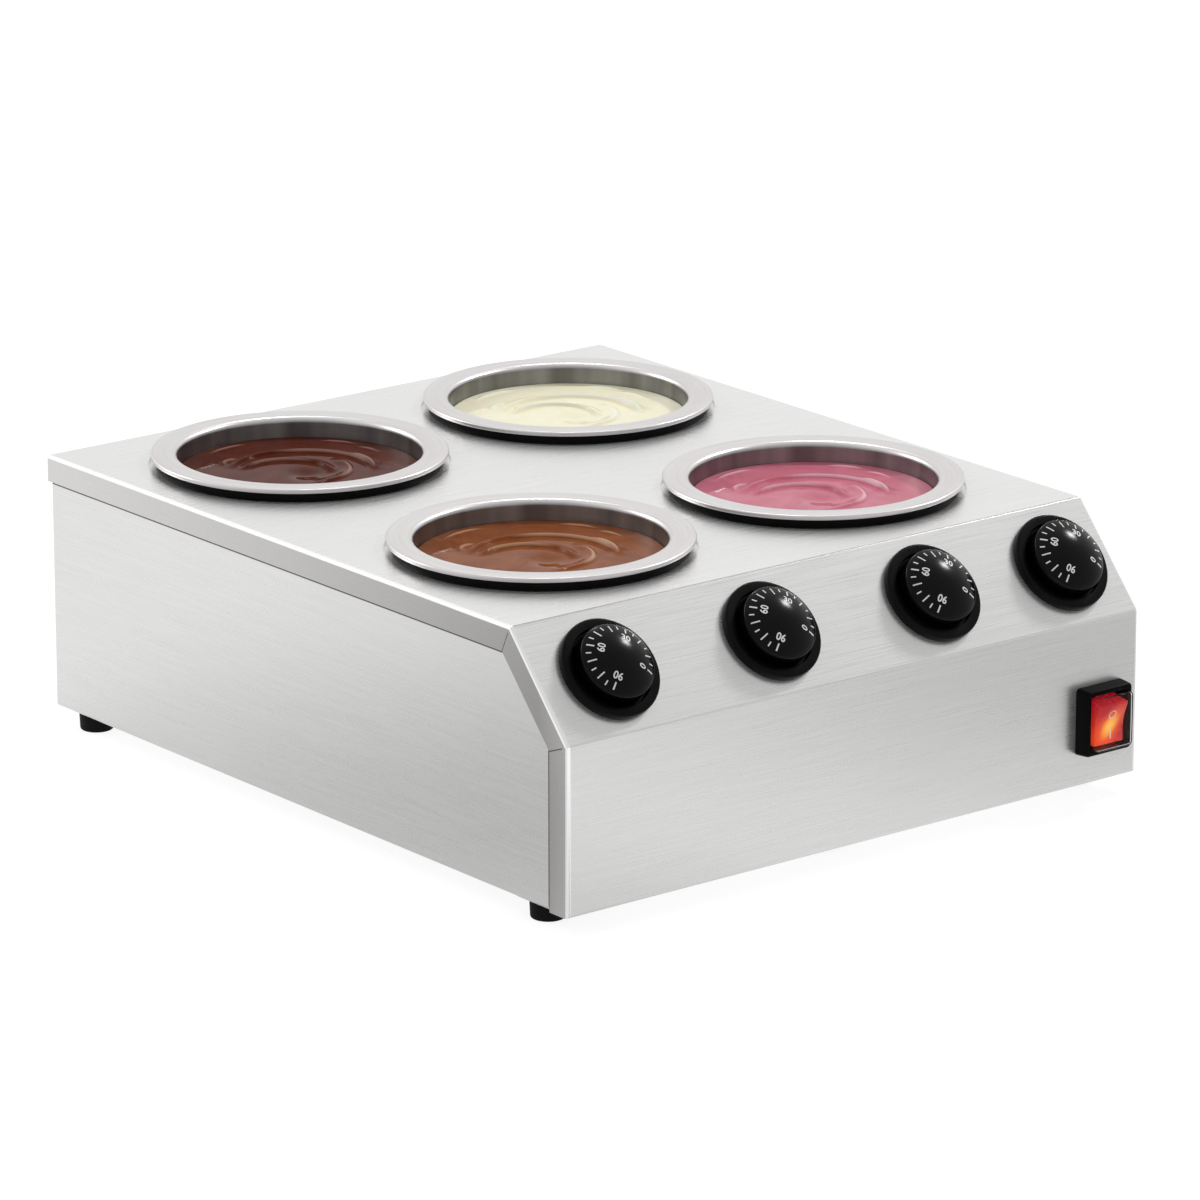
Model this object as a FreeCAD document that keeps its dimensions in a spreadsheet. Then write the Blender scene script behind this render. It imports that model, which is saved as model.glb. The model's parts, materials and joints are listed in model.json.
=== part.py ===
import FreeCAD
import Part
import math
import os
import Sketcher

# Table-top chocolate melter with four lift-out pots, in millimetres.
# The origin is under the middle of the machine, on the plane that the feet stand on.
# +Z is up, -Y is the front with the dials, +X is to the right of a person facing the dials.

os.makedirs("parts", exist_ok=True)

doc = FreeCAD.newDocument("chocolate_melter")

# Lengths and angles by name; a text that starts with = is worked out from the other names
SIZES = [
    # Casing, heights counted from its bottom edge
    ("case_width", 400),
    ("case_depth", "=slope_run + front_margin + 4 * well_hole_radius + pot_bridge_along + rear_margin"),
    ("case_height", 148),
    ("bend_height", 94),
    ("slope_run", 48),
    ("case_sheet", 1.2),
    ("cover_bend_radius", 2),
    ("lip_width", 15),
    ("lip_clearance", 0.4),
    ("mitre_slit", 0.4),
    ("shell_corner_radius", 2.5),
    ("flange_width", 46),
    ("base_sheet", 1.2),
    ("sheet_gap", 0.3),
    # Vent slots in the rear wall and in the base plate
    ("vent_width", 4),
    ("vent_length", 34),
    ("vent_pitch", 12),
    ("vent_count", 9),
    ("rear_vent_height", 60),
    # Rubber feet and the screws that hold them
    ("foot_height", 10.5),
    ("foot_radius", 10),
    ("foot_tip_radius", 9.5),
    ("foot_edge_radius", 1.5),
    ("foot_inset_side", 14),
    ("foot_inset_front", 34),
    ("foot_inset_rear", 25),
    ("foot_recess_radius", 5),
    ("foot_recess_depth", 5),
    ("foot_screw_radius", 2),
    ("foot_screw_head_radius", 3.8),
    ("foot_screw_head_height", 2.6),
    ("foot_nut_radius", 3.8),
    ("foot_nut_height", 3.2),
    # Screws that hold the base plate to the flanges
    ("base_screw_radius", 1.5),
    ("base_screw_head_radius", 2.8),
    ("base_screw_head_height", 1.8),
    ("base_screw_reach", 5),
    ("base_screw_inset", 10),
    ("base_screw_spacing_across", "=case_width / 2"),
    ("base_screw_end_distance", 107.5),
    ("base_screw_spacing_along", "=case_depth - 2 * base_screw_end_distance"),
    ("screw_clearance", 0.2),
    # Heated wells, four on a grid, as large as the width of the casing leaves room for
    ("side_margin", 19),
    ("pot_bridge_across", 22),
    ("pot_bridge_along", 50),
    ("front_margin", 21.5),
    ("rear_margin", 15.5),
    ("well_hole_radius", "=(case_width - 2 * side_margin - pot_bridge_across) / 4"),
    ("pot_pitch_across", "=2 * well_hole_radius + pot_bridge_across"),
    ("pot_pitch_along", "=2 * well_hole_radius + pot_bridge_along"),
    ("pot_grid_centre", "=(slope_run + front_margin - rear_margin) / 2"),
    ("well_flange_width", 7),
    ("well_flange_radius", "=well_hole_radius + well_flange_width"),
    ("well_side_gap", 3.8),
    ("well_radius", "=pot_mouth_radius + pot_sheet + well_side_gap"),
    ("well_floor_gap", 7.2),
    ("well_sheet", 1),
    ("well_depth", "=pot_depth - rim_rise - case_sheet + well_floor_gap + well_sheet"),
    ("well_mouth_radius", 2.5),
    ("well_corner_radius", 6),
    # Black ring that carries the pot's rim
    ("seat_ring_inset", 3.5),
    ("seat_ring_step", 1.5),
    ("seat_ring_radius", "=rim_radius - seat_ring_inset"),
    ("seat_ring_bore", "=well_radius + seat_ring_step"),
    ("seat_clearance", 0.1),
    # Lift-out pot
    ("rim_rise", 7),
    ("hole_margin", 1),
    ("rim_radius", "=well_hole_radius - hole_margin"),
    ("rim_width", 15),
    ("rim_hem", 2.4),
    ("rim_edge_radius", 0.9),
    ("rim_roll_radius", 3.5),
    ("pot_mouth_radius", "=rim_radius - rim_width"),
    ("pot_taper", 4),
    ("pot_base_radius", "=pot_mouth_radius - pot_taper"),
    ("room_under_pot", 43),
    ("pot_depth", "=case_height - room_under_pot"),
    ("pot_sheet", 1.2),
    ("pot_corner_radius", 10),
    ("fill_drop", 12),
    ("fill_clearance", 0.1),
    # Band heater round each well
    ("band_clearance", 0.1),
    ("band_thickness", 4),
    ("band_height", 42),
    ("band_lift", 30),
    ("band_split", 6),
    ("band_lug_length", 11),
    ("band_lug_sheet", 2),
    ("band_lug_height", 14),
    ("band_screw_radius", 2),
    ("band_screw_head_radius", 3.5),
    ("band_screw_head_height", 3),
    # Dials on the sloping panel
    ("dial_1_across", "=-0.385 * case_width"),
    ("dial_2_across", "=-0.11 * case_width"),
    ("dial_3_across", "=0.1725 * case_width"),
    ("dial_4_across", "=0.405 * case_width"),
    ("bezel_gap", 1.4),
    ("bezel_bore", "=knob_radius + bezel_gap"),
    ("bezel_wall", 5.6),
    ("bezel_radius", "=bezel_bore + bezel_wall"),
    ("bezel_height", 4.6),
    ("bezel_floor", 1.4),
    ("bezel_edge_radius", 1.2),
    ("knob_radius", 22),
    ("knob_draw", 0.4),
    ("knob_edge_radius_at_top", "=knob_radius - knob_draw"),
    ("knob_underside", 3.6),
    ("knob_edge_height", 11.5),
    ("knob_height", 18),
    ("knob_edge_fillet", 1.2),
    ("shaft_radius", 3),
    ("shaft_flat", 2),
    ("shaft_clearance", 0.05),
    ("shaft_reach", 13),
    ("shaft_inner_end", 12),
    # Thermostats behind the sloping panel
    ("thermostat_width", 38),
    ("thermostat_tall", 30),
    ("thermostat_deep", 24),
    ("thermostat_bush_radius", 5),
    ("thermostat_bush_reach", 1),
    ("thermostat_screw_spacing", 28),
    ("thermostat_screw_radius", 1.9),
    ("thermostat_screw_head_radius", 3.4),
    ("thermostat_screw_head_height", 1.6),
    ("thermostat_screw_length", 9),
    ("terminal_width", 6.3),
    ("terminal_sheet", 0.8),
    ("terminal_length", 8),
    # Sensor bulb under each well and the thin tube to it
    ("bulb_radius", 3),
    ("bulb_length", 70),
    ("bulb_gap", 0.2),
    ("tube_radius", 0.8),
    ("tube_gap", 0.2),
    ("tube_bend_radius", 8),
    ("tube_low_level", 30),
    # Rocker switch with its frame and clear splash cover
    ("switch_side_distance", 28),
    ("switch_across", "=case_width / 2 - switch_side_distance"),
    ("switch_height", 37.5),
    ("frame_wall", 3.7),
    ("frame_width", "=splash_width + 2 * frame_wall"),
    ("frame_tall", "=splash_tall + 2 * frame_wall"),
    ("frame_reach", 9),
    ("frame_draft", 3),
    ("frame_corner_radius", 2.5),
    ("frame_edge_radius", 1.6),
    ("splash_width", "=switch_body_width + 2 * switch_flange_side"),
    ("splash_tall", "=switch_body_tall + 2 * switch_flange_end"),
    ("splash_wall", 0.8),
    ("splash_reach", 13.8),
    ("splash_corner_radius", 2.5),
    ("splash_clearance", 0.2),
    ("switch_flange", 2),
    ("switch_flange_side", 1.5),
    ("switch_flange_end", 1),
    ("switch_side_wall", 1),
    ("switch_end_wall", 1.2),
    ("switch_body_width", "=rocker_width + 2 * (rocker_side_gap + switch_side_wall)"),
    ("switch_body_tall", "=2 * (rocker_half_length + rocker_end_gap + switch_end_wall)"),
    ("switch_body_deep", 26),
    ("cutout_clearance", 0.2),
    ("rocker_width", 21.4),
    ("rocker_half_length", 12),
    ("rocker_end_reach", 11.5),
    ("rocker_middle_reach", 9.3),
    ("rocker_back", 5),
    ("rocker_valley_radius", 30),
    ("rocker_edge_radius", 0.8),
    ("rocker_side_gap", 0.2),
    ("rocker_end_gap", 1.3),
    ("rocker_tilt", 9),
    ("pivot_depth", 1),
    ("pivot_radius", 1.5),
    ("pivot_clearance", 0.05),
    ("pivot_length", 0.9),
    ("switch_cavity", 9),
    # Cable gland in the rear wall
    ("gland_side_distance", 60),
    ("gland_across", "=case_width / 2 - gland_side_distance"),
    ("gland_height", 25),
    ("gland_bore", 4),
    ("gland_thread_radius", 7.9),
    ("gland_thread_length", 12),
    ("gland_flats", 20),
    ("gland_hex_height", 5),
    ("gland_reach", 16),
    ("gland_cap_radius", 8.6),
    ("gland_cap_fillet", 2.5),
    ("gland_nut_height", 4.5),
    # Terminal block on the base plate
    ("block_length", 42),
    ("block_width", 20),
    ("block_height", 18),
    ("block_step_height", 8),
    ("block_step_width", 5),
    ("block_side_distance", 100),
    ("block_across", "=case_width / 2 - block_side_distance"),
    ("block_rear_distance", 47.5),
    ("block_along", "=case_depth / 2 - block_rear_distance"),
    ("block_screw_radius", 2.4),
    ("block_screw_depth", 5),
    ("block_screw_pitch", 13),
]

sheet = doc.addObject("Spreadsheet::Sheet", "Sizes")
for row, (alias, value) in enumerate(SIZES, start=1):
    sheet.set("A%d" % row, alias)
    sheet.setAlias("B%d" % row, alias)
for row, (alias, value) in enumerate(SIZES, start=1):
    sheet.set("B%d" % row, str(value))
doc.recompute()

# Places that many pieces share, as expressions on the sheet
FRONT = "(-Sizes.case_depth / 2)"
REAR = "(Sizes.case_depth / 2)"
FLOOR = "Sizes.foot_height"
TOP = "(Sizes.foot_height + Sizes.case_height)"
SLOPE_ANGLE = "atan((Sizes.case_height - Sizes.bend_height) / Sizes.slope_run)"
SLOPE_MIDDLE_Y = "(-Sizes.case_depth / 2 + Sizes.slope_run / 2)"
SLOPE_MIDDLE_Z = "(Sizes.foot_height + (Sizes.case_height + Sizes.bend_height) / 2)"
SHELL_INSET = "(Sizes.case_sheet + Sizes.lip_clearance)"
SHELL_HALF = "(Sizes.case_width / 2 - Sizes.case_sheet - Sizes.lip_clearance)"
SHELL_REAR = "(Sizes.case_depth / 2 - Sizes.case_sheet - Sizes.lip_clearance)"
PLATE_TOP = "(Sizes.foot_height + Sizes.case_sheet + Sizes.base_sheet)"
WELL_TOP = "(Sizes.foot_height + Sizes.case_height - Sizes.case_sheet)"
WELL_UNDER = "(Sizes.foot_height + Sizes.case_height - Sizes.case_sheet - Sizes.well_depth)"

WELLS = {"front_left": (-1, -1), "back_left": (-1, 1), "back_right": (1, 1), "front_right": (1, -1)}
DIALS = {"front_left": 1, "back_left": 2, "back_right": 3, "front_right": 4}


def number(expression):
    """The value of an expression on the sheet."""
    value = sheet.evalExpression(str(expression))
    return float(getattr(value, "Value", value))


def well_x(name):
    return "(%d * Sizes.pot_pitch_across / 2)" % WELLS[name][0]


def well_y(name):
    return "(Sizes.pot_grid_centre + %d * Sizes.pot_pitch_along / 2)" % WELLS[name][1]


def dial_x(name):
    return "Sizes.dial_%d_across" % DIALS[name]


def casing_outline(inset, rear, floor):
    """Side outline of the casing, moved inwards: rear top, upper bend, lower bend, front foot, rear foot."""
    upper_y = "%s + Sizes.slope_run + %s * tan(%s / 2)" % (FRONT, inset, SLOPE_ANGLE)
    lower_z = "%s + Sizes.bend_height - %s * tan(45 deg - %s / 2)" % (FLOOR, inset, SLOPE_ANGLE)
    top = "%s - %s" % (TOP, inset)
    front = "%s + %s" % (FRONT, inset)
    return [(rear, top), (upper_y, top), (front, lower_z), (front, floor), (rear, floor)]


# Helpers that make bodies, sketches and features

def new_body(label, x=None, y=None, z=None, angle=None):
    """A body whose placement follows the sheet; the angle turns it about X."""
    body = doc.addObject("PartDesign::Body", label)
    body.Label = label
    if angle is not None:
        body.Placement = FreeCAD.Placement(FreeCAD.Vector(), FreeCAD.Rotation(FreeCAD.Vector(1, 0, 0), 10))
        body.setExpression("Placement.Rotation.Angle", angle)
    for axis, expression in (("x", x), ("y", y), ("z", z)):
        if expression is not None:
            body.setExpression("Placement.Base." + axis, expression)
    return body


def new_sketch(body, plane, name, lift=None):
    """A sketch on one of the body's origin planes, lifted along the plane's normal."""
    sketch = body.newObject("Sketcher::SketchObject", name)
    role = plane + "_Plane"
    origin_plane = [feature for feature in body.Origin.OriginFeatures if feature.Role == role][0]
    sketch.AttachmentSupport = (origin_plane, [""])
    sketch.MapMode = "FlatFace"
    if lift is not None:
        sketch.setExpression("AttachmentOffset.Base.z", lift)
    return sketch


def hold(sketch, kind, parts, expression):
    """A dimension of the sketch that follows the sheet."""
    index = sketch.addConstraint(Sketcher.Constraint(kind, *parts, number(expression)))
    sketch.setExpression("Constraints[%d]" % index, str(expression))


def polygon(sketch, points):
    """A closed outline through points given as pairs of expressions."""
    corners = [FreeCAD.Vector(number(x), number(y), 0) for x, y in points]
    count = len(points)
    first = sketch.GeometryCount
    for i in range(count):
        sketch.addGeometry(Part.LineSegment(corners[i], corners[(i + 1) % count]), False)
    for i in range(count):
        follower = first + (i + 1) % count
        sketch.addConstraint(Sketcher.Constraint("Coincident", first + i, 2, follower, 1))
    for i, (x, y) in enumerate(points):
        hold(sketch, "DistanceX", (-1, 1, first + i, 1), x)
        hold(sketch, "DistanceY", (-1, 1, first + i, 1), y)


def rectangle(sketch, left, bottom, right, top):
    polygon(sketch, [(left, bottom), (right, bottom), (right, top), (left, top)])


def centred_rectangle(sketch, width, height):
    half_width = "(%s) / 2" % width
    half_height = "(%s) / 2" % height
    rectangle(sketch, "-" + half_width, "-" + half_height, half_width, half_height)


def circle(sketch, x, y, radius):
    """A circle whose centre and radius follow the sheet."""
    centre = FreeCAD.Vector(number(x), number(y), 0)
    index = sketch.addGeometry(Part.Circle(centre, FreeCAD.Vector(0, 0, 1), number(radius)), False)
    hold(sketch, "DistanceX", (-1, 1, index, 3), x)
    hold(sketch, "DistanceY", (-1, 1, index, 3), y)
    hold(sketch, "Radius", (index,), radius)


def d_outline(sketch, radius, flat):
    """A shaft section: a circle cut by one flat."""
    size = number(radius)
    reach = number(flat)
    half_chord = (size * size - reach * reach) ** 0.5
    low = FreeCAD.Vector(reach, -half_chord, 0)
    high = FreeCAD.Vector(reach, half_chord, 0)
    arc = sketch.addGeometry(Part.Arc(high, FreeCAD.Vector(-size, 0, 0), low), False)
    line = sketch.addGeometry(Part.LineSegment(low, high), False)
    sketch.addConstraint(Sketcher.Constraint("Coincident", arc, 3, -1, 1))
    sketch.addConstraint(Sketcher.Constraint("Coincident", arc, 1, line, 2))
    sketch.addConstraint(Sketcher.Constraint("Coincident", arc, 2, line, 1))
    sketch.addConstraint(Sketcher.Constraint("Vertical", line))
    hold(sketch, "Radius", (arc,), radius)
    hold(sketch, "DistanceX", (-1, 1, line, 1), flat)


def hexagon(sketch, flats):
    """A hexagon given by its size across the flats, two flats upright."""
    corner = "(%s) / 2 / cos(30 deg)" % flats
    points = []
    for turn in range(0, 360, 60):
        points.append(("%s * sin(%d deg)" % (corner, turn), "%s * cos(%d deg)" % (corner, turn)))
    polygon(sketch, points)


def pad(body, name, sketch, length, both_sides=False, inwards=False, draft=None):
    feature = body.newObject("PartDesign::Pad", name)
    feature.Profile = sketch
    feature.setExpression("Length", str(length))
    feature.SideType = "Symmetric" if both_sides else "One side"
    feature.Reversed = inwards
    if draft is not None:
        feature.setExpression("TaperAngle", draft)
    return feature


def pocket(body, name, sketch, length=None, both_sides=False, inwards=False):
    """A cut by a length, or right through when no length is given; it has to remove material."""
    doc.recompute()
    before = body.Shape.Volume
    feature = body.newObject("PartDesign::Pocket", name)
    feature.Profile = sketch
    if length is None:
        feature.Type = "ThroughAll"
    else:
        feature.setExpression("Length", str(length))
    feature.SideType = "Symmetric" if both_sides else "One side"
    feature.Reversed = inwards
    doc.recompute()
    if not body.Shape.Volume < before:
        raise RuntimeError("%s in %s cuts nothing" % (name, body.Label))
    return feature


def revolve(body, name, sketch):
    feature = body.newObject("PartDesign::Revolution", name)
    feature.Profile = sketch
    feature.ReferenceAxis = (sketch, ["V_Axis"])
    feature.Angle = 360
    return feature


def fillet(body, name, radius, chosen):
    """Rounds the edges of the body that the test picks."""
    doc.recompute()
    base = body.Tip
    edges = ["Edge%d" % (i + 1) for i, edge in enumerate(base.Shape.Edges) if chosen(edge)]
    feature = body.newObject("PartDesign::Fillet", name)
    feature.Base = (base, edges)
    feature.setExpression("Radius", str(radius))
    return feature


def repeat_along(body, name, sketch, original, axis, pitch, count):
    """A row of copies of one feature, centred by the first copy's own place."""
    feature = body.newObject("PartDesign::LinearPattern", name)
    feature.Originals = [original]
    feature.Direction = (sketch, [axis])
    feature.setExpression("Length", "%s * (%s - 1)" % (pitch, count))
    feature.setExpression("Occurrences", count)
    body.Tip = feature
    return feature


def near(value, expression, slack=0.01):
    return abs(value - number(expression)) < slack


def flat_in(edge, axis, expression):
    """True when the whole edge lies at one value of x, y or z."""
    box = edge.BoundBox
    low, high = {"x": (box.XMin, box.XMax), "y": (box.YMin, box.YMax), "z": (box.ZMin, box.ZMax)}[axis]
    return near(low, expression) and near(high, expression)


def ring_edge(edge, radius, height):
    """True for a circular edge of this radius at this height."""
    if edge.Degenerated or not hasattr(edge.Curve, "Radius"):
        return False
    return near(edge.Curve.Radius, radius) and flat_in(edge, "z", height)


def upright(edge):
    box = edge.BoundBox
    return box.XLength < 0.01 and box.YLength < 0.01


def loose_solids(label, solids):
    """One node that holds a group of like pieces."""
    feature = doc.addObject("Part::Feature", label)
    feature.Label = label
    feature.Shape = Part.makeCompound(solids)
    return feature


def screw(head_radius, head_height, shank_radius, shank_length):
    """A pan-head screw: the head's underside at the origin, the shank along -Z."""
    shank = Part.makeCylinder(shank_radius, shank_length, FreeCAD.Vector(0, 0, -shank_length))
    head = Part.makeCylinder(head_radius, head_height)
    rim = [edge for edge in head.Edges if edge.BoundBox.ZMin > head_height / 2]
    head = head.makeChamfer(0.3 * head_height, rim)
    return head.fuse(shank).removeSplitter()


# Casing

def make_top_cover():
    """Top, sloping panel and front apron folded from one sheet, with a lip down each side and the rear."""
    body = new_body("top_cover")
    outline = new_sketch(body, "YZ", "cover_outline")
    polygon(outline, casing_outline("0", REAR, FLOOR))
    pad(body, "cover_block", outline, "Sizes.case_width", both_sides=True)
    fillet(body, "cover_bends", "Sizes.cover_bend_radius",
           lambda edge: flat_in(edge, "y", FRONT) or not flat_in(edge, "z", FLOOR))
    room = new_sketch(body, "YZ", "cover_room_outline")
    inside_rear = "(%s - Sizes.case_sheet)" % REAR
    polygon(room, casing_outline("Sizes.case_sheet", inside_rear, FLOOR + " + Sizes.case_sheet"))
    pocket(body, "cover_room", room, "Sizes.case_width - 2 * Sizes.case_sheet", both_sides=True)
    fillet(body, "inner_bends", "Sizes.cover_bend_radius - Sizes.case_sheet", inside_of_cover)

    side_opening = new_sketch(body, "YZ", "side_opening")
    past_rear = REAR + " + Sizes.lip_width"
    below = FLOOR + " - Sizes.lip_width"
    polygon(side_opening, casing_outline("Sizes.lip_width", past_rear, below))
    pocket(body, "lips", side_opening, "2 * Sizes.case_width", both_sides=True)

    slits = new_sketch(body, "YZ", "mitre_slits")
    half_slit = "Sizes.mitre_slit / 2"
    shallow = casing_outline("2 * Sizes.cover_bend_radius", REAR, FLOOR)
    deep = casing_outline("(Sizes.lip_width + Sizes.mitre_slit)", REAR, FLOOR)
    (y1, z1), (y2, z2) = shallow[1], deep[1]
    polygon(slits, [("%s - %s" % (y1, half_slit), z1), ("%s + %s" % (y1, half_slit), z1),
                    ("%s + %s" % (y2, half_slit), z2), ("%s - %s" % (y2, half_slit), z2)])
    (y1, z1), (y2, z2) = shallow[2], deep[2]
    polygon(slits, [(y1, "%s - %s" % (z1, half_slit)), (y2, "%s - %s" % (z2, half_slit)),
                    (y2, "%s + %s" % (z2, half_slit)), (y1, "%s + %s" % (z1, half_slit))])
    pocket(body, "lip_mitres", slits, "2 * Sizes.case_width", both_sides=True)

    flange = new_sketch(body, "XY", "apron_flange", FLOOR)
    flange_half = "(%s - Sizes.case_sheet - Sizes.sheet_gap)" % SHELL_HALF
    rectangle(flange, "-" + flange_half, FRONT + " + Sizes.lip_width / 2",
              flange_half, FRONT + " + Sizes.flange_width")
    pad(body, "apron_foot", flange, "Sizes.case_sheet")

    mouths = new_sketch(body, "XY", "well_mouths", FLOOR + " + Sizes.bend_height")
    for name in WELLS:
        circle(mouths, well_x(name), well_y(name), "Sizes.well_hole_radius")
    pocket(body, "well_holes", mouths, inwards=True)

    panel = new_sketch(body, "XY", "dial_holes")
    turned = FreeCAD.Rotation(FreeCAD.Vector(1, 0, 0), 10)
    panel.AttachmentOffset = FreeCAD.Placement(FreeCAD.Vector(), turned)
    panel.setExpression("AttachmentOffset.Rotation.Angle", SLOPE_ANGLE)
    panel.setExpression("AttachmentOffset.Base.y", SLOPE_MIDDLE_Y)
    panel.setExpression("AttachmentOffset.Base.z", SLOPE_MIDDLE_Z)
    for name in DIALS:
        circle(panel, dial_x(name), "0", "Sizes.thermostat_bush_radius + Sizes.screw_clearance")
        for side in (-1, 1):
            across = "%s + %d * Sizes.thermostat_screw_spacing / 2" % (dial_x(name), side)
            circle(panel, across, "0", "Sizes.thermostat_screw_radius + Sizes.screw_clearance")
    pocket(body, "panel_holes", panel, "4 * Sizes.case_sheet")

    cutout = new_sketch(body, "XZ", "switch_outline", "Sizes.case_depth / 2 + Sizes.case_sheet")
    switch_cutout(cutout, "Sizes.switch_across", "(%s + Sizes.switch_height)" % FLOOR)
    pocket(body, "switch_hole", cutout, "4 * Sizes.case_sheet")

    screw_holes(body, [place for place in foot_places() if place[1].startswith("(" + FRONT)],
                "Sizes.foot_screw_radius", "front_foot_holes")
    screw_holes(body, [place for place in base_screw_places() if place[1].startswith("(" + FRONT)],
                "Sizes.base_screw_radius", "front_base_holes")
    return body


def inside_of_cover(edge):
    """True for the edges of the hollow inside the cover."""
    box = edge.BoundBox
    half = number("Sizes.case_width / 2 - Sizes.case_sheet") + 0.01
    behind_front = box.YMin > number(FRONT + " + Sizes.case_sheet") - 0.01
    under_top = box.ZMax < number(TOP + " - Sizes.case_sheet") + 0.01
    above_floor = box.ZMin > number(FLOOR + " + Sizes.case_sheet") - 0.01
    return max(-box.XMin, box.XMax) < half and behind_front and under_top and above_floor


def switch_cutout(sketch, x, z):
    half_width = "(Sizes.switch_body_width / 2 + Sizes.cutout_clearance)"
    half_tall = "(Sizes.switch_body_tall / 2 + Sizes.cutout_clearance)"
    rectangle(sketch, "%s - %s" % (x, half_width), "%s - %s" % (z, half_tall),
              "%s + %s" % (x, half_width), "%s + %s" % (z, half_tall))


def foot_places():
    """Feet in two rows of three, by expressions for x and y."""
    side = "(Sizes.case_width / 2 - Sizes.foot_inset_side)"
    rows = ["(%s + Sizes.foot_inset_front)" % FRONT, "(%s - Sizes.foot_inset_rear)" % REAR]
    return [(x, y) for y in rows for x in ("-" + side, "0", side)]


def base_screw_places():
    """Base plate screws, two along each edge, by expressions for x and y."""
    side = "(%s - Sizes.case_sheet - Sizes.base_screw_inset)" % SHELL_HALF
    front = "(%s + Sizes.base_screw_inset)" % FRONT
    rear = "(%s - Sizes.case_sheet - Sizes.base_screw_inset)" % SHELL_REAR
    places = []
    for sign in (-1, 1):
        across = "(%d * Sizes.base_screw_spacing_across / 2)" % sign
        along = "(%d * Sizes.base_screw_spacing_along / 2)" % sign
        places += [(across, front), (across, rear), ("-" + side, along), (side, along)]
    return places


def screw_holes(body, places, radius, name):
    """Clearance holes straight up through the sheet that lies on the floor of the casing."""
    holes = new_sketch(body, "XY", name + "_outline", FLOOR)
    for x, y in places:
        circle(holes, x, y, radius + " + Sizes.screw_clearance")
    pocket(body, name, holes, "3 * (Sizes.case_sheet + Sizes.base_sheet)", both_sides=True)


def make_case_shell():
    """Left side, rear and right side in one bent sheet, with a flange turned in along the bottom."""
    body = new_body("case_shell")
    outline = new_sketch(body, "YZ", "shell_outline")
    polygon(outline, casing_outline("(%s)" % SHELL_INSET, SHELL_REAR, FLOOR))
    pad(body, "shell_block", outline, "2 * " + SHELL_HALF, both_sides=True)
    fillet(body, "shell_bends", "Sizes.shell_corner_radius", lambda edge: shell_bend(edge, "0"))

    room = new_sketch(body, "XY", "inside", FLOOR + " + Sizes.case_sheet")
    half = "(%s - Sizes.case_sheet)" % SHELL_HALF
    ahead = "(%s - Sizes.flange_width)" % FRONT
    rear = "(%s - Sizes.case_sheet)" % SHELL_REAR
    rectangle(room, "-" + half, ahead, half, rear)
    pocket(body, "shell_room", room, inwards=True)
    fillet(body, "inner_bends", "Sizes.shell_corner_radius - Sizes.case_sheet",
           lambda edge: shell_bend(edge, "Sizes.case_sheet"))

    opening = new_sketch(body, "XY", "floor_opening", FLOOR)
    narrow = "(%s - Sizes.flange_width)" % half
    back = "(%s - Sizes.flange_width)" % rear
    rectangle(opening, "-" + narrow, ahead, narrow, back)
    pocket(body, "flanges", opening, "Sizes.case_sheet", inwards=True)
    front_strip = new_sketch(body, "XY", "apron_flange_room", FLOOR)
    rectangle(front_strip, "-" + half, ahead, half, FRONT + " + Sizes.flange_width + Sizes.sheet_gap")
    pocket(body, "room_for_apron_flange", front_strip, "Sizes.shell_corner_radius", inwards=True)
    notch = new_sketch(body, "XY", "apron_corner_room", FLOOR)
    rectangle(notch, "-Sizes.case_width", ahead, "Sizes.case_width",
              FRONT + " + Sizes.lip_width + Sizes.sheet_gap")
    pocket(body, "room_for_apron_corners", notch, "Sizes.shell_corner_radius", inwards=True)

    slot = new_sketch(body, "XZ", "rear_vent")
    first = "(-Sizes.vent_pitch * (Sizes.vent_count - 1) / 2)"
    centre = "(%s + Sizes.rear_vent_height)" % FLOOR
    rectangle(slot, "%s - Sizes.vent_width / 2" % first, "%s - Sizes.vent_length / 2" % centre,
              "%s + Sizes.vent_width / 2" % first, "%s + Sizes.vent_length / 2" % centre)
    cut = pocket(body, "rear_slot", slot)
    repeat_along(body, "rear_vents", slot, cut, "H_Axis", "Sizes.vent_pitch", "Sizes.vent_count")

    gland_hole = new_sketch(body, "XZ", "gland_hole_outline")
    circle(gland_hole, "Sizes.gland_across", FLOOR + " + Sizes.gland_height",
           "Sizes.gland_thread_radius + Sizes.screw_clearance")
    pocket(body, "gland_hole", gland_hole)

    screw_holes(body, [place for place in foot_places() if not place[1].startswith("(" + FRONT)],
                "Sizes.foot_screw_radius", "rear_foot_holes")
    screw_holes(body, [place for place in base_screw_places() if not place[1].startswith("(" + FRONT)],
                "Sizes.base_screw_radius", "rear_base_holes")
    return body


def shell_bend(edge, depth):
    """True for the bends of the shell, on its outside or one sheet further in."""
    half = "%s - %s" % (SHELL_HALF, depth)
    on_side = flat_in(edge, "x", half) or flat_in(edge, "x", "-(%s)" % half)
    on_rear = flat_in(edge, "y", "%s - %s" % (SHELL_REAR, depth))
    on_floor = flat_in(edge, "z", "%s + %s" % (FLOOR, depth))
    return (on_side or on_rear) and on_floor or on_rear and upright(edge)


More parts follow.
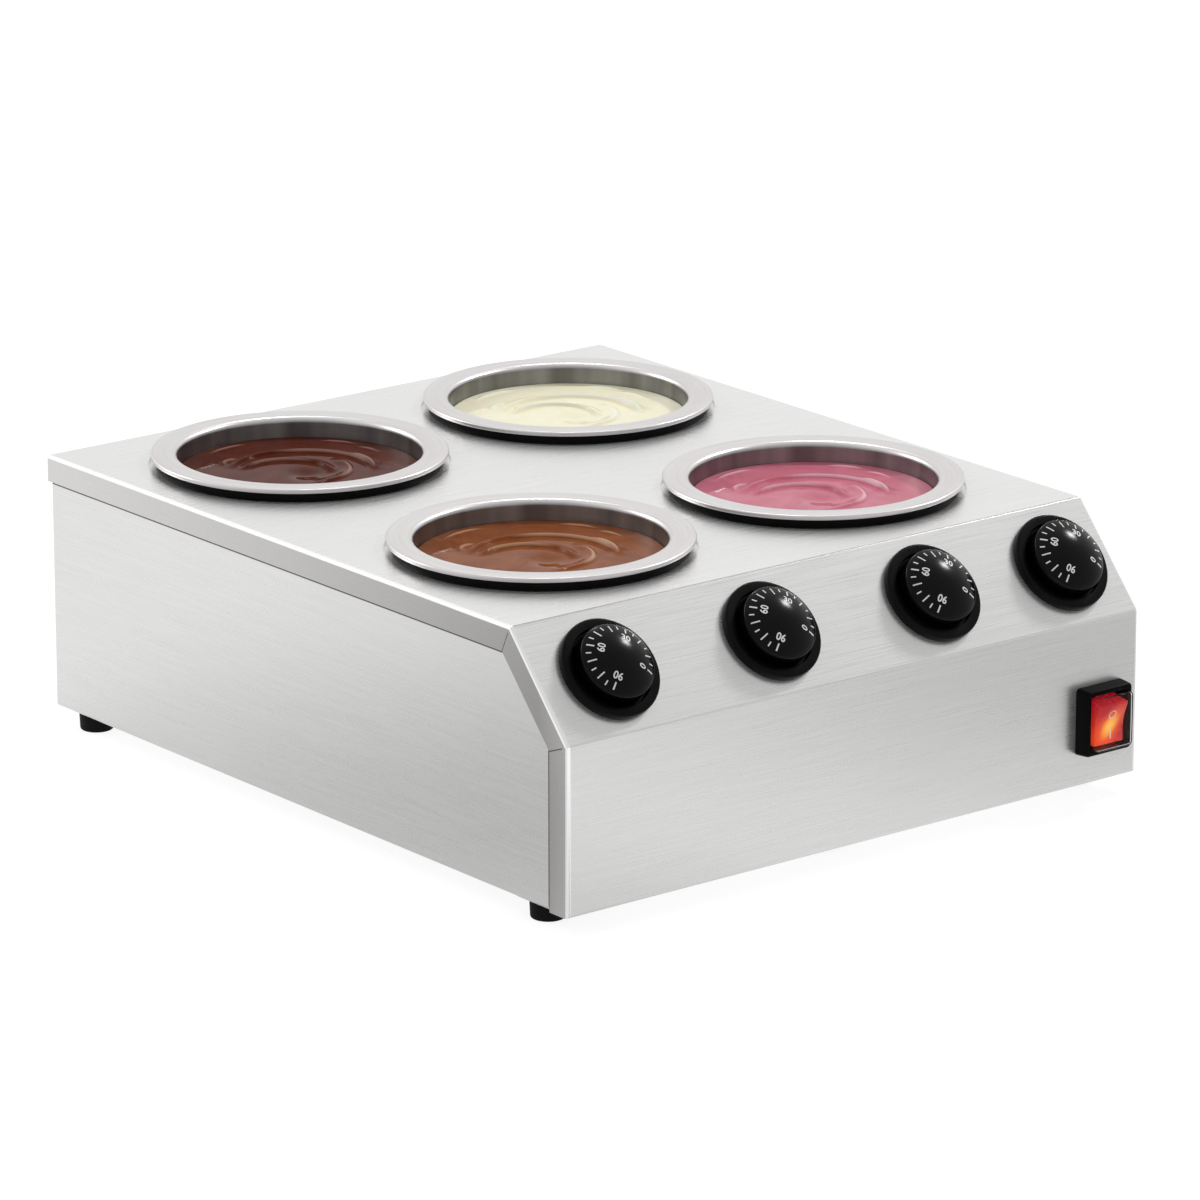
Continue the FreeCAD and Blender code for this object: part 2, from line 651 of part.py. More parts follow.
def make_base_plate():
    """Flat plate that rests on the flanges, with two rows of vent slots under the wells."""
    body = new_body("base_plate")
    outline = new_sketch(body, "XY", "plate_outline", FLOOR + " + Sizes.case_sheet")
    half = "(%s - Sizes.shell_corner_radius - Sizes.sheet_gap)" % SHELL_HALF
    rectangle(outline, "-" + half, "%s + Sizes.cover_bend_radius + Sizes.sheet_gap" % FRONT,
              half, "%s - Sizes.shell_corner_radius - Sizes.sheet_gap" % SHELL_REAR)
    pad(body, "plate", outline, "Sizes.base_sheet")
    fillet(body, "plate_corners", "Sizes.shell_corner_radius", upright)
    for row in (-1, 1):
        slot = new_sketch(body, "XY", "base_vent", FLOOR)
        first = "(-Sizes.vent_pitch * (Sizes.vent_count - 1) / 2)"
        centre = "(Sizes.pot_grid_centre + %d * Sizes.pot_pitch_along / 2)" % row
        rectangle(slot, "%s - Sizes.vent_width / 2" % first, "%s - Sizes.vent_length / 2" % centre,
                  "%s + Sizes.vent_width / 2" % first, "%s + Sizes.vent_length / 2" % centre)
        cut = pocket(body, "base_slot", slot, inwards=True)
        repeat_along(body, "base_vents", slot, cut, "H_Axis", "Sizes.vent_pitch", "Sizes.vent_count")
    screw_holes(body, foot_places(), "Sizes.foot_screw_radius", "foot_holes")
    screw_holes(body, base_screw_places(), "Sizes.base_screw_radius", "base_holes")
    return body


def make_foot(label, x, y):
    """Round rubber foot, narrower at the tip, with a recess for its screw head."""
    body = new_body(label, x=x, y=y)
    profile = new_sketch(body, "XZ", "foot_profile")
    shank = "(Sizes.foot_screw_radius + Sizes.screw_clearance)"
    recess, tip = "Sizes.foot_recess_radius", "Sizes.foot_tip_radius"
    polygon(profile, [(shank, "Sizes.foot_recess_depth"), (recess, "Sizes.foot_recess_depth"),
                      (recess, "0"), (tip, "0"),
                      ("Sizes.foot_radius", FLOOR), (shank, FLOOR)])
    revolve(body, "foot", profile)
    fillet(body, "foot_edge", "Sizes.foot_edge_radius", lambda edge: ring_edge(edge, tip, "0"))
    return body


def make_foot_screws():
    """A screw up through each foot and a nut on the base plate."""
    head_seat = number("Sizes.foot_recess_depth")
    nut_seat = number(PLATE_TOP)
    nut_height = number("Sizes.foot_nut_height")
    shank_radius = number("Sizes.foot_screw_radius")
    shank_length = nut_seat + nut_height - head_seat + shank_radius
    solids = []
    for x, y in foot_places():
        place = FreeCAD.Vector(number(x), number(y), 0)
        one = screw(number("Sizes.foot_screw_head_radius"), number("Sizes.foot_screw_head_height"),
                    shank_radius, shank_length)
        one.rotate(FreeCAD.Vector(), FreeCAD.Vector(1, 0, 0), 180)
        one.translate(place + FreeCAD.Vector(0, 0, head_seat))
        nut = Part.makeCylinder(number("Sizes.foot_nut_radius"), nut_height)
        nut = nut.cut(Part.makeCylinder(shank_radius + number("Sizes.shaft_clearance"), nut_height))
        nut.translate(place + FreeCAD.Vector(0, 0, nut_seat))
        solids += [one, nut]
    return loose_solids("foot_screws", solids)


def make_base_screws():
    """Pan-head screws up through the flanges into the base plate."""
    solids = []
    for x, y in base_screw_places():
        one = screw(number("Sizes.base_screw_head_radius"), number("Sizes.base_screw_head_height"),
                    number("Sizes.base_screw_radius"), number("Sizes.base_screw_reach"))
        one.rotate(FreeCAD.Vector(), FreeCAD.Vector(1, 0, 0), 180)
        one.translate(FreeCAD.Vector(number(x), number(y), number(FLOOR)))
        solids.append(one)
    return loose_solids("base_screws", solids)


# Wells, pots and what heats them

def make_well(name):
    """Pressed cup whose flange is fixed under the top sheet."""
    body = new_body("well_" + name, x=well_x(name), y=well_y(name), z=WELL_TOP)
    profile = new_sketch(body, "XZ", "well_profile")
    outside = "(Sizes.well_radius + Sizes.well_sheet)"
    depth = "(-Sizes.well_depth)"
    polygon(profile, [("0", depth), (outside, depth), (outside, "-Sizes.well_sheet"),
                      ("Sizes.well_flange_radius", "-Sizes.well_sheet"), ("Sizes.well_flange_radius", "0"),
                      ("Sizes.well_radius", "0"), ("Sizes.well_radius", depth + " + Sizes.well_sheet"),
                      ("0", depth + " + Sizes.well_sheet")])
    revolve(body, "well_cup", profile)
    fillet(body, "mouth", "Sizes.well_mouth_radius",
           lambda edge: ring_edge(edge, "Sizes.well_radius", "0"))
    fillet(body, "floor_corner", "Sizes.well_corner_radius",
           lambda edge: ring_edge(edge, outside, depth))
    fillet(body, "inner_floor_corner", "Sizes.well_corner_radius - Sizes.well_sheet",
           lambda edge: ring_edge(edge, "Sizes.well_radius", depth + " + Sizes.well_sheet"))
    return body


def make_seat_ring(name):
    """Black heat-resistant ring that stands on the well's flange and carries the pot's rim."""
    body = new_body("seat_ring_" + name, x=well_x(name), y=well_y(name), z=WELL_TOP)
    profile = new_sketch(body, "XZ", "ring_profile")
    tall = "(Sizes.case_sheet + Sizes.rim_rise - Sizes.pot_sheet - Sizes.seat_clearance)"
    rectangle(profile, "Sizes.seat_ring_bore", "0", "Sizes.seat_ring_radius", tall)
    revolve(body, "ring", profile)
    return body


def make_pot(name):
    """Spun steel pot: a flat rim with a hem, a rolled mouth and a slightly tapered wall."""
    body = new_body("pot_" + name, x=well_x(name), y=well_y(name), z=TOP + " + Sizes.rim_rise")
    profile = new_sketch(body, "XZ", "pot_profile")
    wall = "Sizes.pot_sheet"
    depth = "(-Sizes.pot_depth)"
    in_hem = "Sizes.rim_radius - " + wall
    polygon(profile, [("0", depth), ("Sizes.pot_base_radius + " + wall, depth),
                      ("Sizes.pot_mouth_radius + " + wall, "-" + wall), (in_hem, "-" + wall),
                      (in_hem, "-Sizes.rim_hem"), ("Sizes.rim_radius", "-Sizes.rim_hem"),
                      ("Sizes.rim_radius", "0"), ("Sizes.pot_mouth_radius", "0"),
                      ("Sizes.pot_base_radius", "%s + %s" % (depth, wall)), ("0", "%s + %s" % (depth, wall))])
    revolve(body, "pot_shell", profile)
    fillet(body, "rim_edge", "Sizes.rim_edge_radius", lambda edge: ring_edge(edge, "Sizes.rim_radius", "0"))
    fillet(body, "rolled_mouth", "Sizes.rim_roll_radius",
           lambda edge: ring_edge(edge, "Sizes.pot_mouth_radius", "0"))
    fillet(body, "pot_corner", "Sizes.pot_corner_radius",
           lambda edge: ring_edge(edge, "Sizes.pot_base_radius + " + wall, depth))
    fillet(body, "pot_inner_corner", "Sizes.pot_corner_radius - " + wall,
           lambda edge: ring_edge(edge, "Sizes.pot_base_radius", "%s + %s" % (depth, wall)))
    return body


def pot_radius_at(drop):
    """Inner radius of the pot's tapered wall at a depth below the rim, as an expression."""
    taper = "(Sizes.pot_mouth_radius - Sizes.pot_base_radius) / (Sizes.pot_depth - Sizes.pot_sheet)"
    return "(Sizes.pot_mouth_radius - (%s) * %s)" % (drop, taper)


def make_fill(label, name):
    """The melted chocolate, which takes the pot's inside shape up to its level."""
    body = new_body(label, x=well_x(name), y=well_y(name), z=TOP + " + Sizes.rim_rise")
    profile = new_sketch(body, "XZ", "fill_profile")
    gap = "Sizes.fill_clearance"
    floor = "(-Sizes.pot_depth + Sizes.pot_sheet)"
    low_radius = "(Sizes.pot_base_radius - %s)" % gap
    polygon(profile, [("0", floor), (low_radius, floor),
                      ("%s - %s" % (pot_radius_at("Sizes.fill_drop"), gap), "-Sizes.fill_drop"),
                      ("0", "-Sizes.fill_drop")])
    revolve(body, "fill", profile)
    fillet(body, "fill_corner", "Sizes.pot_corner_radius", lambda edge: ring_edge(edge, low_radius, floor))
    return body


def make_band_heater(name):
    """Heater band clamped round the well, split on the side that faces the middle of the machine."""
    lift = WELL_UNDER + " + Sizes.band_lift"
    body = new_body("band_heater_" + name, x=well_x(name), y=well_y(name), z=lift)
    inner = "(Sizes.well_radius + Sizes.well_sheet + Sizes.band_clearance)"
    outer = "(%s + Sizes.band_thickness)" % inner
    towards_middle = "-" if WELLS[name][0] > 0 else ""
    ring = new_sketch(body, "XY", "band_ring")
    circle(ring, "0", "0", outer)
    circle(ring, "0", "0", inner)
    pad(body, "band", ring, "Sizes.band_height")
    split = new_sketch(body, "XY", "band_gap")
    past = "%s%s %s Sizes.band_thickness" % (towards_middle, outer, "-" if towards_middle else "+")
    before = "%s%s %s Sizes.band_thickness" % (towards_middle, inner, "+" if towards_middle else "-")
    left, right = sorted((before, past), key=number)
    rectangle(split, left, "-Sizes.band_split / 2", right, "Sizes.band_split / 2")
    pocket(body, "band_split", split, inwards=True)
    middle = "(Sizes.band_height / 2)"
    for sign in (-1, 1):
        lug = new_sketch(body, "XZ", "band_lug", "%d * Sizes.band_split / 2" % (-sign))
        reach = "%s%s %s Sizes.band_lug_length" % (towards_middle, outer, "-" if towards_middle else "+")
        root = "%s(%s + Sizes.band_thickness / 2)" % (towards_middle, inner)
        left, right = sorted((root, reach), key=number)
        rectangle(lug, left, middle + " - Sizes.band_lug_height / 2",
                  right, middle + " + Sizes.band_lug_height / 2")
        pad(body, "lug", lug, "Sizes.band_lug_sheet", inwards=sign > 0)
    hole = new_sketch(body, "XZ", "lug_hole")
    circle(hole, band_screw_reach(name), middle, "Sizes.band_screw_radius + Sizes.screw_clearance")
    pocket(body, "lug_holes", hole, "2 * (Sizes.band_split + Sizes.band_lug_sheet)", both_sides=True)
    return body


def band_screw_reach(name):
    """Place of the clamp screw across from the well's axis."""
    sign = "-" if WELLS[name][0] > 0 else ""
    outer = "Sizes.well_radius + Sizes.well_sheet + Sizes.band_clearance + Sizes.band_thickness"
    return "%s(%s + Sizes.band_lug_length / 2)" % (sign, outer)


def make_band_screws():
    """One clamp screw through the two lugs of each heater band."""
    solids = []
    length = number("Sizes.band_split + 3 * Sizes.band_lug_sheet")
    for name in WELLS:
        one = screw(number("Sizes.band_screw_head_radius"), number("Sizes.band_screw_head_height"),
                    number("Sizes.band_screw_radius"), length)
        one.rotate(FreeCAD.Vector(), FreeCAD.Vector(1, 0, 0), 90)
        x = number(well_x(name)) + number(band_screw_reach(name))
        y = number(well_y(name)) - number("Sizes.band_split / 2 + Sizes.band_lug_sheet")
        z = number(WELL_UNDER + " + Sizes.band_lift + Sizes.band_height / 2")
        one.translate(FreeCAD.Vector(x, y, z))
        solids.append(one)
    return loose_solids("band_heater_screws", solids)


# Dials and thermostats; each of these bodies has Z along the panel's outward normal

def on_panel(label, name):
    return new_body(label, x=dial_x(name), y=SLOPE_MIDDLE_Y, z=SLOPE_MIDDLE_Z, angle=SLOPE_ANGLE)


def make_bezel(name):
    """Fixed black ring round the knob, with a thin floor that two screws hold to the panel."""
    body = on_panel("knob_bezel_" + name, name)
    profile = new_sketch(body, "XZ", "bezel_profile")
    bore = "(Sizes.thermostat_bush_radius + Sizes.screw_clearance)"
    polygon(profile, [(bore, "0"), ("Sizes.bezel_radius", "0"), ("Sizes.bezel_radius", "Sizes.bezel_height"),
                      ("Sizes.bezel_bore", "Sizes.bezel_height"), ("Sizes.bezel_bore", "Sizes.bezel_floor"),
                      (bore, "Sizes.bezel_floor")])
    revolve(body, "bezel", profile)
    fillet(body, "bezel_edge", "Sizes.bezel_edge_radius",
           lambda edge: ring_edge(edge, "Sizes.bezel_radius", "Sizes.bezel_height"))
    holes = new_sketch(body, "XY", "bezel_holes_outline")
    for sign in (-1, 1):
        circle(holes, "%d * Sizes.thermostat_screw_spacing / 2" % sign, "0",
               "Sizes.thermostat_screw_radius + Sizes.screw_clearance")
    pocket(body, "bezel_holes", holes, "Sizes.bezel_height", inwards=True)
    return body


def make_knob(name):
    """Domed dial with a D-shaped bore for the shaft."""
    body = on_panel("knob_" + name, name)
    profile = new_sketch(body, "XZ", "knob_profile")
    radius = number("Sizes.knob_edge_radius_at_top")
    rise = number("Sizes.knob_height - Sizes.knob_edge_height")
    under, edge_height = number("Sizes.knob_underside"), number("Sizes.knob_edge_height")
    crown = number("Sizes.knob_height")
    curve = (radius * radius + rise * rise) / (2 * rise)
    centre = FreeCAD.Vector(0, crown - curve, 0)
    axis_foot, skirt = FreeCAD.Vector(0, under, 0), FreeCAD.Vector(number("Sizes.knob_radius"), under, 0)
    shoulder, apex = FreeCAD.Vector(radius, edge_height, 0), FreeCAD.Vector(0, crown, 0)
    for start, end in ((axis_foot, skirt), (skirt, shoulder), (apex, axis_foot)):
        profile.addGeometry(Part.LineSegment(start, end), False)
    dome = Part.Circle(centre, FreeCAD.Vector(0, 0, 1), curve)
    profile.addGeometry(Part.ArcOfCircle(dome, dome.parameter(shoulder), dome.parameter(apex)), False)
    for first, first_end, second, second_end in ((0, 2, 1, 1), (1, 2, 3, 1), (3, 2, 2, 1), (2, 2, 0, 1)):
        profile.addConstraint(Sketcher.Constraint("Coincident", first, first_end, second, second_end))
    profile.addConstraint(Sketcher.Constraint("PointOnObject", 3, 3, -2))
    profile.addConstraint(Sketcher.Constraint("PointOnObject", 0, 1, -2))
    profile.addConstraint(Sketcher.Constraint("PointOnObject", 3, 2, -2))
    hold(profile, "DistanceY", (-1, 1, 0, 1), "Sizes.knob_underside")
    hold(profile, "DistanceY", (-1, 1, 0, 2), "Sizes.knob_underside")
    hold(profile, "DistanceX", (-1, 1, 0, 2), "Sizes.knob_radius")
    hold(profile, "DistanceX", (-1, 1, 1, 2), "Sizes.knob_edge_radius_at_top")
    hold(profile, "DistanceY", (-1, 1, 1, 2), "Sizes.knob_edge_height")
    hold(profile, "DistanceY", (-1, 1, 2, 1), "Sizes.knob_height")
    revolve(body, "dome", profile)
    fillet(body, "dome_edge", "Sizes.knob_edge_fillet",
           lambda edge: ring_edge(edge, "Sizes.knob_edge_radius_at_top", "Sizes.knob_edge_height"))
    bore = new_sketch(body, "XY", "knob_bore_outline", "Sizes.knob_underside")
    d_outline(bore, "Sizes.shaft_radius + Sizes.shaft_clearance", "Sizes.shaft_flat + Sizes.shaft_clearance")
    depth = "Sizes.shaft_reach + Sizes.shaft_clearance - Sizes.knob_underside"
    pocket(body, "knob_bore", bore, depth, inwards=True)
    return body


def make_shaft(name):
    """Thermostat spindle, flat on one side where the knob sits."""
    body = on_panel("thermostat_shaft_" + name, name)
    inner = new_sketch(body, "XY", "shaft_round", "-Sizes.shaft_inner_end")
    circle(inner, "0", "0", "Sizes.shaft_radius")
    pad(body, "round_end", inner, "Sizes.shaft_inner_end + Sizes.thermostat_bush_reach")
    outer = new_sketch(body, "XY", "shaft_flat_outline", "Sizes.thermostat_bush_reach")
    d_outline(outer, "Sizes.shaft_radius", "Sizes.shaft_flat")
    pad(body, "flat_end", outer, "Sizes.shaft_reach - Sizes.thermostat_bush_reach")
    return body


def make_thermostat(name):
    """Capillary thermostat: a box against the back of the panel, a bush through it, two blade terminals."""
    body = on_panel("thermostat_" + name, name)
    box = new_sketch(body, "XY", "thermostat_outline", "-Sizes.case_sheet")
    centred_rectangle(box, "Sizes.thermostat_width", "Sizes.thermostat_tall")
    pad(body, "box", box, "Sizes.thermostat_deep", inwards=True)
    bush = new_sketch(body, "XY", "bush_outline", "-Sizes.case_sheet")
    circle(bush, "0", "0", "Sizes.thermostat_bush_radius")
    pad(body, "bush", bush, "Sizes.case_sheet + Sizes.thermostat_bush_reach")
    bore = new_sketch(body, "XY", "bush_bore", "Sizes.thermostat_bush_reach")
    circle(bore, "0", "0", "Sizes.shaft_radius + Sizes.shaft_clearance")
    depth = "Sizes.thermostat_bush_reach + Sizes.shaft_inner_end + Sizes.shaft_clearance"
    pocket(body, "shaft_bore", bore, depth)
    holes = new_sketch(body, "XY", "screw_bores", "-Sizes.case_sheet")
    for sign in (-1, 1):
        circle(holes, "%d * Sizes.thermostat_screw_spacing / 2" % sign, "0",
               "Sizes.thermostat_screw_radius + Sizes.shaft_clearance")
    pocket(body, "screw_holes", holes, "Sizes.thermostat_screw_length")
    back = "(-Sizes.case_sheet - Sizes.thermostat_deep)"
    for sign in (-1, 1):
        blade = new_sketch(body, "XY", "blade_outline", back)
        centre = "(%d * Sizes.thermostat_width / 4)" % sign
        rectangle(blade, centre + " - Sizes.terminal_width / 2", "-Sizes.terminal_sheet / 2",
                  centre + " + Sizes.terminal_width / 2", "Sizes.terminal_sheet / 2")
        pad(body, "blade", blade, "Sizes.terminal_length", inwards=True)
    return body


def make_thermostat_screws():
    """Two screws through each bezel and the panel into the thermostat."""
    panel = FreeCAD.Placement(FreeCAD.Vector(0, number(SLOPE_MIDDLE_Y), number(SLOPE_MIDDLE_Z)),
                              FreeCAD.Rotation(FreeCAD.Vector(1, 0, 0), number(SLOPE_ANGLE)))
    seat = number("Sizes.bezel_floor")
    length = seat + number("Sizes.thermostat_screw_length")
    head_radius = number("Sizes.thermostat_screw_head_radius")
    head_height = number("Sizes.thermostat_screw_head_height")
    solids = []
    for name in DIALS:
        for sign in (-1, 1):
            one = screw(head_radius, head_height, number("Sizes.thermostat_screw_radius"), length)
            across = number(dial_x(name)) + sign * number("Sizes.thermostat_screw_spacing / 2")
            one.Placement = panel * FreeCAD.Placement(FreeCAD.Vector(across, 0, seat), FreeCAD.Rotation())
            solids.append(one)
    return loose_solids("thermostat_screws", solids)


def rounded_path(points, radius):
    """A wire of straight runs with tangent arcs at the corners."""
    edges = []
    start = points[0]
    for before, corner, after in zip(points, points[1:], points[2:]):
        arriving = (corner - before).normalize()
        leaving = (after - corner).normalize()
        half_turn = arriving.getAngle(leaving) / 2
        trim = radius * math.tan(half_turn)
        arc_start = corner - arriving * trim
        arc_end = corner + leaving * trim
        bisector = (leaving - arriving).normalize()
        centre = corner + bisector * (radius / math.cos(half_turn))
        arc_middle = centre - bisector * radius
        edges.append(Part.LineSegment(start, arc_start).toShape())
        edges.append(Part.Arc(arc_start, arc_middle, arc_end).toShape())
        start = arc_end
    edges.append(Part.LineSegment(start, points[-1]).toShape())
    return Part.Wire(edges)


def make_sensor(name):
    """Sensor bulb held up against the well's floor, and the thin tube from it to the thermostat."""
    feature = doc.addObject("Part::Feature", "sensor_" + name)
    feature.Label = "sensor_" + name
    bulb_radius, tube_radius = number("Sizes.bulb_radius"), number("Sizes.tube_radius")
    half_bulb, turn = number("Sizes.bulb_length / 2"), number("Sizes.tube_bend_radius")
    slope = FreeCAD.Rotation(FreeCAD.Vector(1, 0, 0), number(SLOPE_ANGLE))
    dial = FreeCAD.Vector(number(dial_x(name)), number(SLOPE_MIDDLE_Y), number(SLOPE_MIDDLE_Z))
    back = -number("Sizes.case_sheet + Sizes.thermostat_deep + Sizes.tube_gap")
    low = -number("Sizes.thermostat_tall / 4")
    start = dial + slope.multVec(FreeCAD.Vector(0, low, back))
    drop = dial + slope.multVec(FreeCAD.Vector(0, low, back - 2 * turn))
    level = number(WELL_UNDER) - number("Sizes.bulb_gap") - bulb_radius
    run = FreeCAD.Vector(number(well_x(name)) - drop.x, number(well_y(name)) - drop.y, 0)
    reach = run.Length - half_bulb
    run.normalize()

    def along(distance, height):
        return FreeCAD.Vector(drop.x, drop.y, height) + run * distance

    points = [start, drop]
    if WELLS[name][1] > 0:
        under = number(FLOOR + " + Sizes.tube_low_level")
        points += [along(0, under), along(reach - 4 * turn, under), along(reach - 2 * turn, level)]
    else:
        points.append(along(0, level))
    points.append(along(reach, level))
    path = rounded_path(points, turn)
    section = Part.Wire([Part.Circle(start, drop - start, tube_radius).toShape()])
    tube = path.makePipeShell([section], True, False)
    bulb = Part.makeCylinder(bulb_radius, 2 * half_bulb, points[-1], run)
    feature.Shape = tube.fuse(bulb).removeSplitter()
    return feature


# Rocker switch; these bodies have their origin on the apron's outside face, outwards is -Y

def on_apron(label):
    return new_body(label, x="Sizes.switch_across", y=FRONT, z=FLOOR + " + Sizes.switch_height")


def make_switch_frame():
    """Black moulded frame round the switch, with slightly tapered sides."""
    body = on_apron("switch_frame")
    block = new_sketch(body, "XZ", "frame_outline")
    centred_rectangle(block, "Sizes.frame_width", "Sizes.frame_tall")
    pad(body, "frame_block", block, "Sizes.frame_reach", draft="-Sizes.frame_draft")
    fillet(body, "frame_corners", "Sizes.frame_corner_radius", lambda edge: edge.BoundBox.YLength > 1)
    fillet(body, "frame_edge", "Sizes.frame_edge_radius",
           lambda edge: flat_in(edge, "y", "-Sizes.frame_reach"))
    opening = new_sketch(body, "XZ", "frame_opening_outline")
    centred_rectangle(opening, "Sizes.splash_width + 2 * Sizes.splash_clearance",
                      "Sizes.splash_tall + 2 * Sizes.splash_clearance")
    pocket(body, "frame_opening", opening, inwards=True)
    inside = number("Sizes.splash_width / 2 + 1")
    fillet(body, "opening_corners", "Sizes.splash_corner_radius",
           lambda edge: edge.BoundBox.YLength > 1 and abs(edge.CenterOfMass.x) < inside)
    return body


def make_splash_cover():
    """Clear cap over the rocker, open towards the switch."""
    body = on_apron("splash_cover")
    block = new_sketch(body, "XZ", "splash_outline", "Sizes.switch_flange + Sizes.splash_clearance")
    centred_rectangle(block, "Sizes.splash_width", "Sizes.splash_tall")
    pad(body, "splash_block", block, "Sizes.splash_reach - Sizes.switch_flange - Sizes.splash_clearance")
    fillet(body, "splash_corners", "Sizes.splash_corner_radius",
           lambda edge: edge.BoundBox.YLength > 1)
    fillet(body, "splash_edge", "Sizes.splash_corner_radius / 2",
           lambda edge: flat_in(edge, "y", "-Sizes.splash_reach"))
    room = new_sketch(body, "XZ", "splash_room_outline", "Sizes.switch_flange + Sizes.splash_clearance")
    centred_rectangle(room, "Sizes.splash_width - 2 * Sizes.splash_wall",
                      "Sizes.splash_tall - 2 * Sizes.splash_wall")
    depth = "Sizes.splash_reach - Sizes.splash_wall - Sizes.switch_flange - Sizes.splash_clearance"
    pocket(body, "splash_room", room, depth, inwards=True)
    return body


def make_switch_body():
    """Switch housing: a flange on the apron, a box behind it, a cavity for the rocker and blade terminals."""
    body = on_apron("switch_body")
    flange = new_sketch(body, "XZ", "flange_outline")
    centred_rectangle(flange, "Sizes.splash_width", "Sizes.splash_tall")
    pad(body, "flange", flange, "Sizes.switch_flange")
    fillet(body, "flange_corners", "Sizes.splash_corner_radius", lambda edge: edge.BoundBox.YLength > 1)
    box = new_sketch(body, "XZ", "box_outline")
    centred_rectangle(box, "Sizes.switch_body_width", "Sizes.switch_body_tall")
    pad(body, "box", box, "Sizes.switch_body_deep", inwards=True)
    cavity = new_sketch(body, "XZ", "cavity_outline", "Sizes.switch_flange")
    centred_rectangle(cavity, "Sizes.rocker_width + 2 * Sizes.rocker_side_gap",
                      "2 * (Sizes.rocker_half_length + Sizes.rocker_end_gap)")
    pocket(body, "cavity", cavity, "Sizes.switch_flange + Sizes.switch_cavity")
    pivot = new_sketch(body, "YZ", "pivot_outline")
    circle(pivot, "Sizes.pivot_depth", "0", "Sizes.pivot_radius + Sizes.pivot_clearance")
    length = "Sizes.rocker_width + 2 * (Sizes.pivot_length + Sizes.pivot_clearance)"
    pocket(body, "pivot_holes", pivot, length, both_sides=True)
    for sign in (-1, 0, 1):
        blade = new_sketch(body, "XZ", "blade_outline", "-Sizes.switch_body_deep")
        centre = "(%d * Sizes.switch_body_tall / 3.5)" % sign
        rectangle(blade, "-Sizes.terminal_width / 2", centre + " - Sizes.terminal_sheet / 2",
                  "Sizes.terminal_width / 2", centre + " + Sizes.terminal_sheet / 2")
        pad(body, "blade", blade, "Sizes.terminal_length", inwards=True)
    return body


def make_rocker():
    """Rocker with a hollowed face and a pin each side, tilted to ON."""
    body = new_body("switch_rocker", x="Sizes.switch_across", y=FRONT + " + Sizes.pivot_depth",
                    z=FLOOR + " + Sizes.switch_height", angle="Sizes.rocker_tilt")
    side = new_sketch(body, "YZ", "rocker_outline")
    end, middle, back = "-Sizes.rocker_end_reach", "-Sizes.rocker_middle_reach", "Sizes.rocker_back"
    half, waist = "Sizes.rocker_half_length", "Sizes.rocker_half_length * 0.7"
    polygon(side, [(middle, "0"), (end, half), ("%s * 0.4" % back, half), (back, waist),
                   (back, "-" + waist), ("%s * 0.4" % back, "-" + half), (end, "-" + half)])
    pad(body, "rocker_block", side, "Sizes.rocker_width", both_sides=True)
    fillet(body, "valley", "Sizes.rocker_valley_radius",
           lambda edge: flat_in(edge, "y", middle) and flat_in(edge, "z", "0"))
    fillet(body, "rocker_edges", "Sizes.rocker_edge_radius", lambda edge: edge.BoundBox.YMax < number(middle))
    pin = new_sketch(body, "YZ", "pin_outline")
    circle(pin, "0", "0", "Sizes.pivot_radius")
    pad(body, "pins", pin, "Sizes.rocker_width + 2 * Sizes.pivot_length", both_sides=True)
    return body


# Cable entry and terminal block; the gland's Z points out of the rear wall

def make_cable_gland():
    """Gland body with a hexagon and a domed cap outside and a thread through the wall, open for a cable."""
    body = new_body("cable_gland", x="Sizes.gland_across", y=SHELL_REAR, z=FLOOR + " + Sizes.gland_height",
                    angle="-90 deg")
    collar = new_sketch(body, "XY", "hexagon_outline")
    hexagon(collar, "Sizes.gland_flats")
    pad(body, "hexagon", collar, "Sizes.gland_hex_height")
    cap = new_sketch(body, "XY", "cap_outline", "Sizes.gland_hex_height")
    circle(cap, "0", "0", "Sizes.gland_cap_radius")
    pad(body, "cap", cap, "Sizes.gland_reach - Sizes.gland_hex_height")
    fillet(body, "cap_edge", "Sizes.gland_cap_fillet",
           lambda edge: ring_edge(edge, "Sizes.gland_cap_radius", "Sizes.gland_reach"))
    thread = new_sketch(body, "XY", "thread_outline")
    circle(thread, "0", "0", "Sizes.gland_thread_radius")
    pad(body, "thread", thread, "Sizes.gland_thread_length", inwards=True)
    bore = new_sketch(body, "XY", "gland_bore_outline")
    circle(bore, "0", "0", "Sizes.gland_bore")
    pocket(body, "gland_bore", bore, "4 * Sizes.gland_reach", both_sides=True)
    return body


def make_gland_nut():
    """Lock nut on the gland's thread, tight against the inside of the rear wall."""
    inside = "(%s - Sizes.case_sheet)" % SHELL_REAR
    body = new_body("gland_nut", x="Sizes.gland_across", y=inside, z=FLOOR + " + Sizes.gland_height",
                    angle="-90 deg")
    outline = new_sketch(body, "XY", "nut_outline")
    hexagon(outline, "Sizes.gland_flats")
    circle(outline, "0", "0", "Sizes.gland_thread_radius + Sizes.shaft_clearance")
    pad(body, "nut", outline, "Sizes.gland_nut_height", inwards=True)
    return body


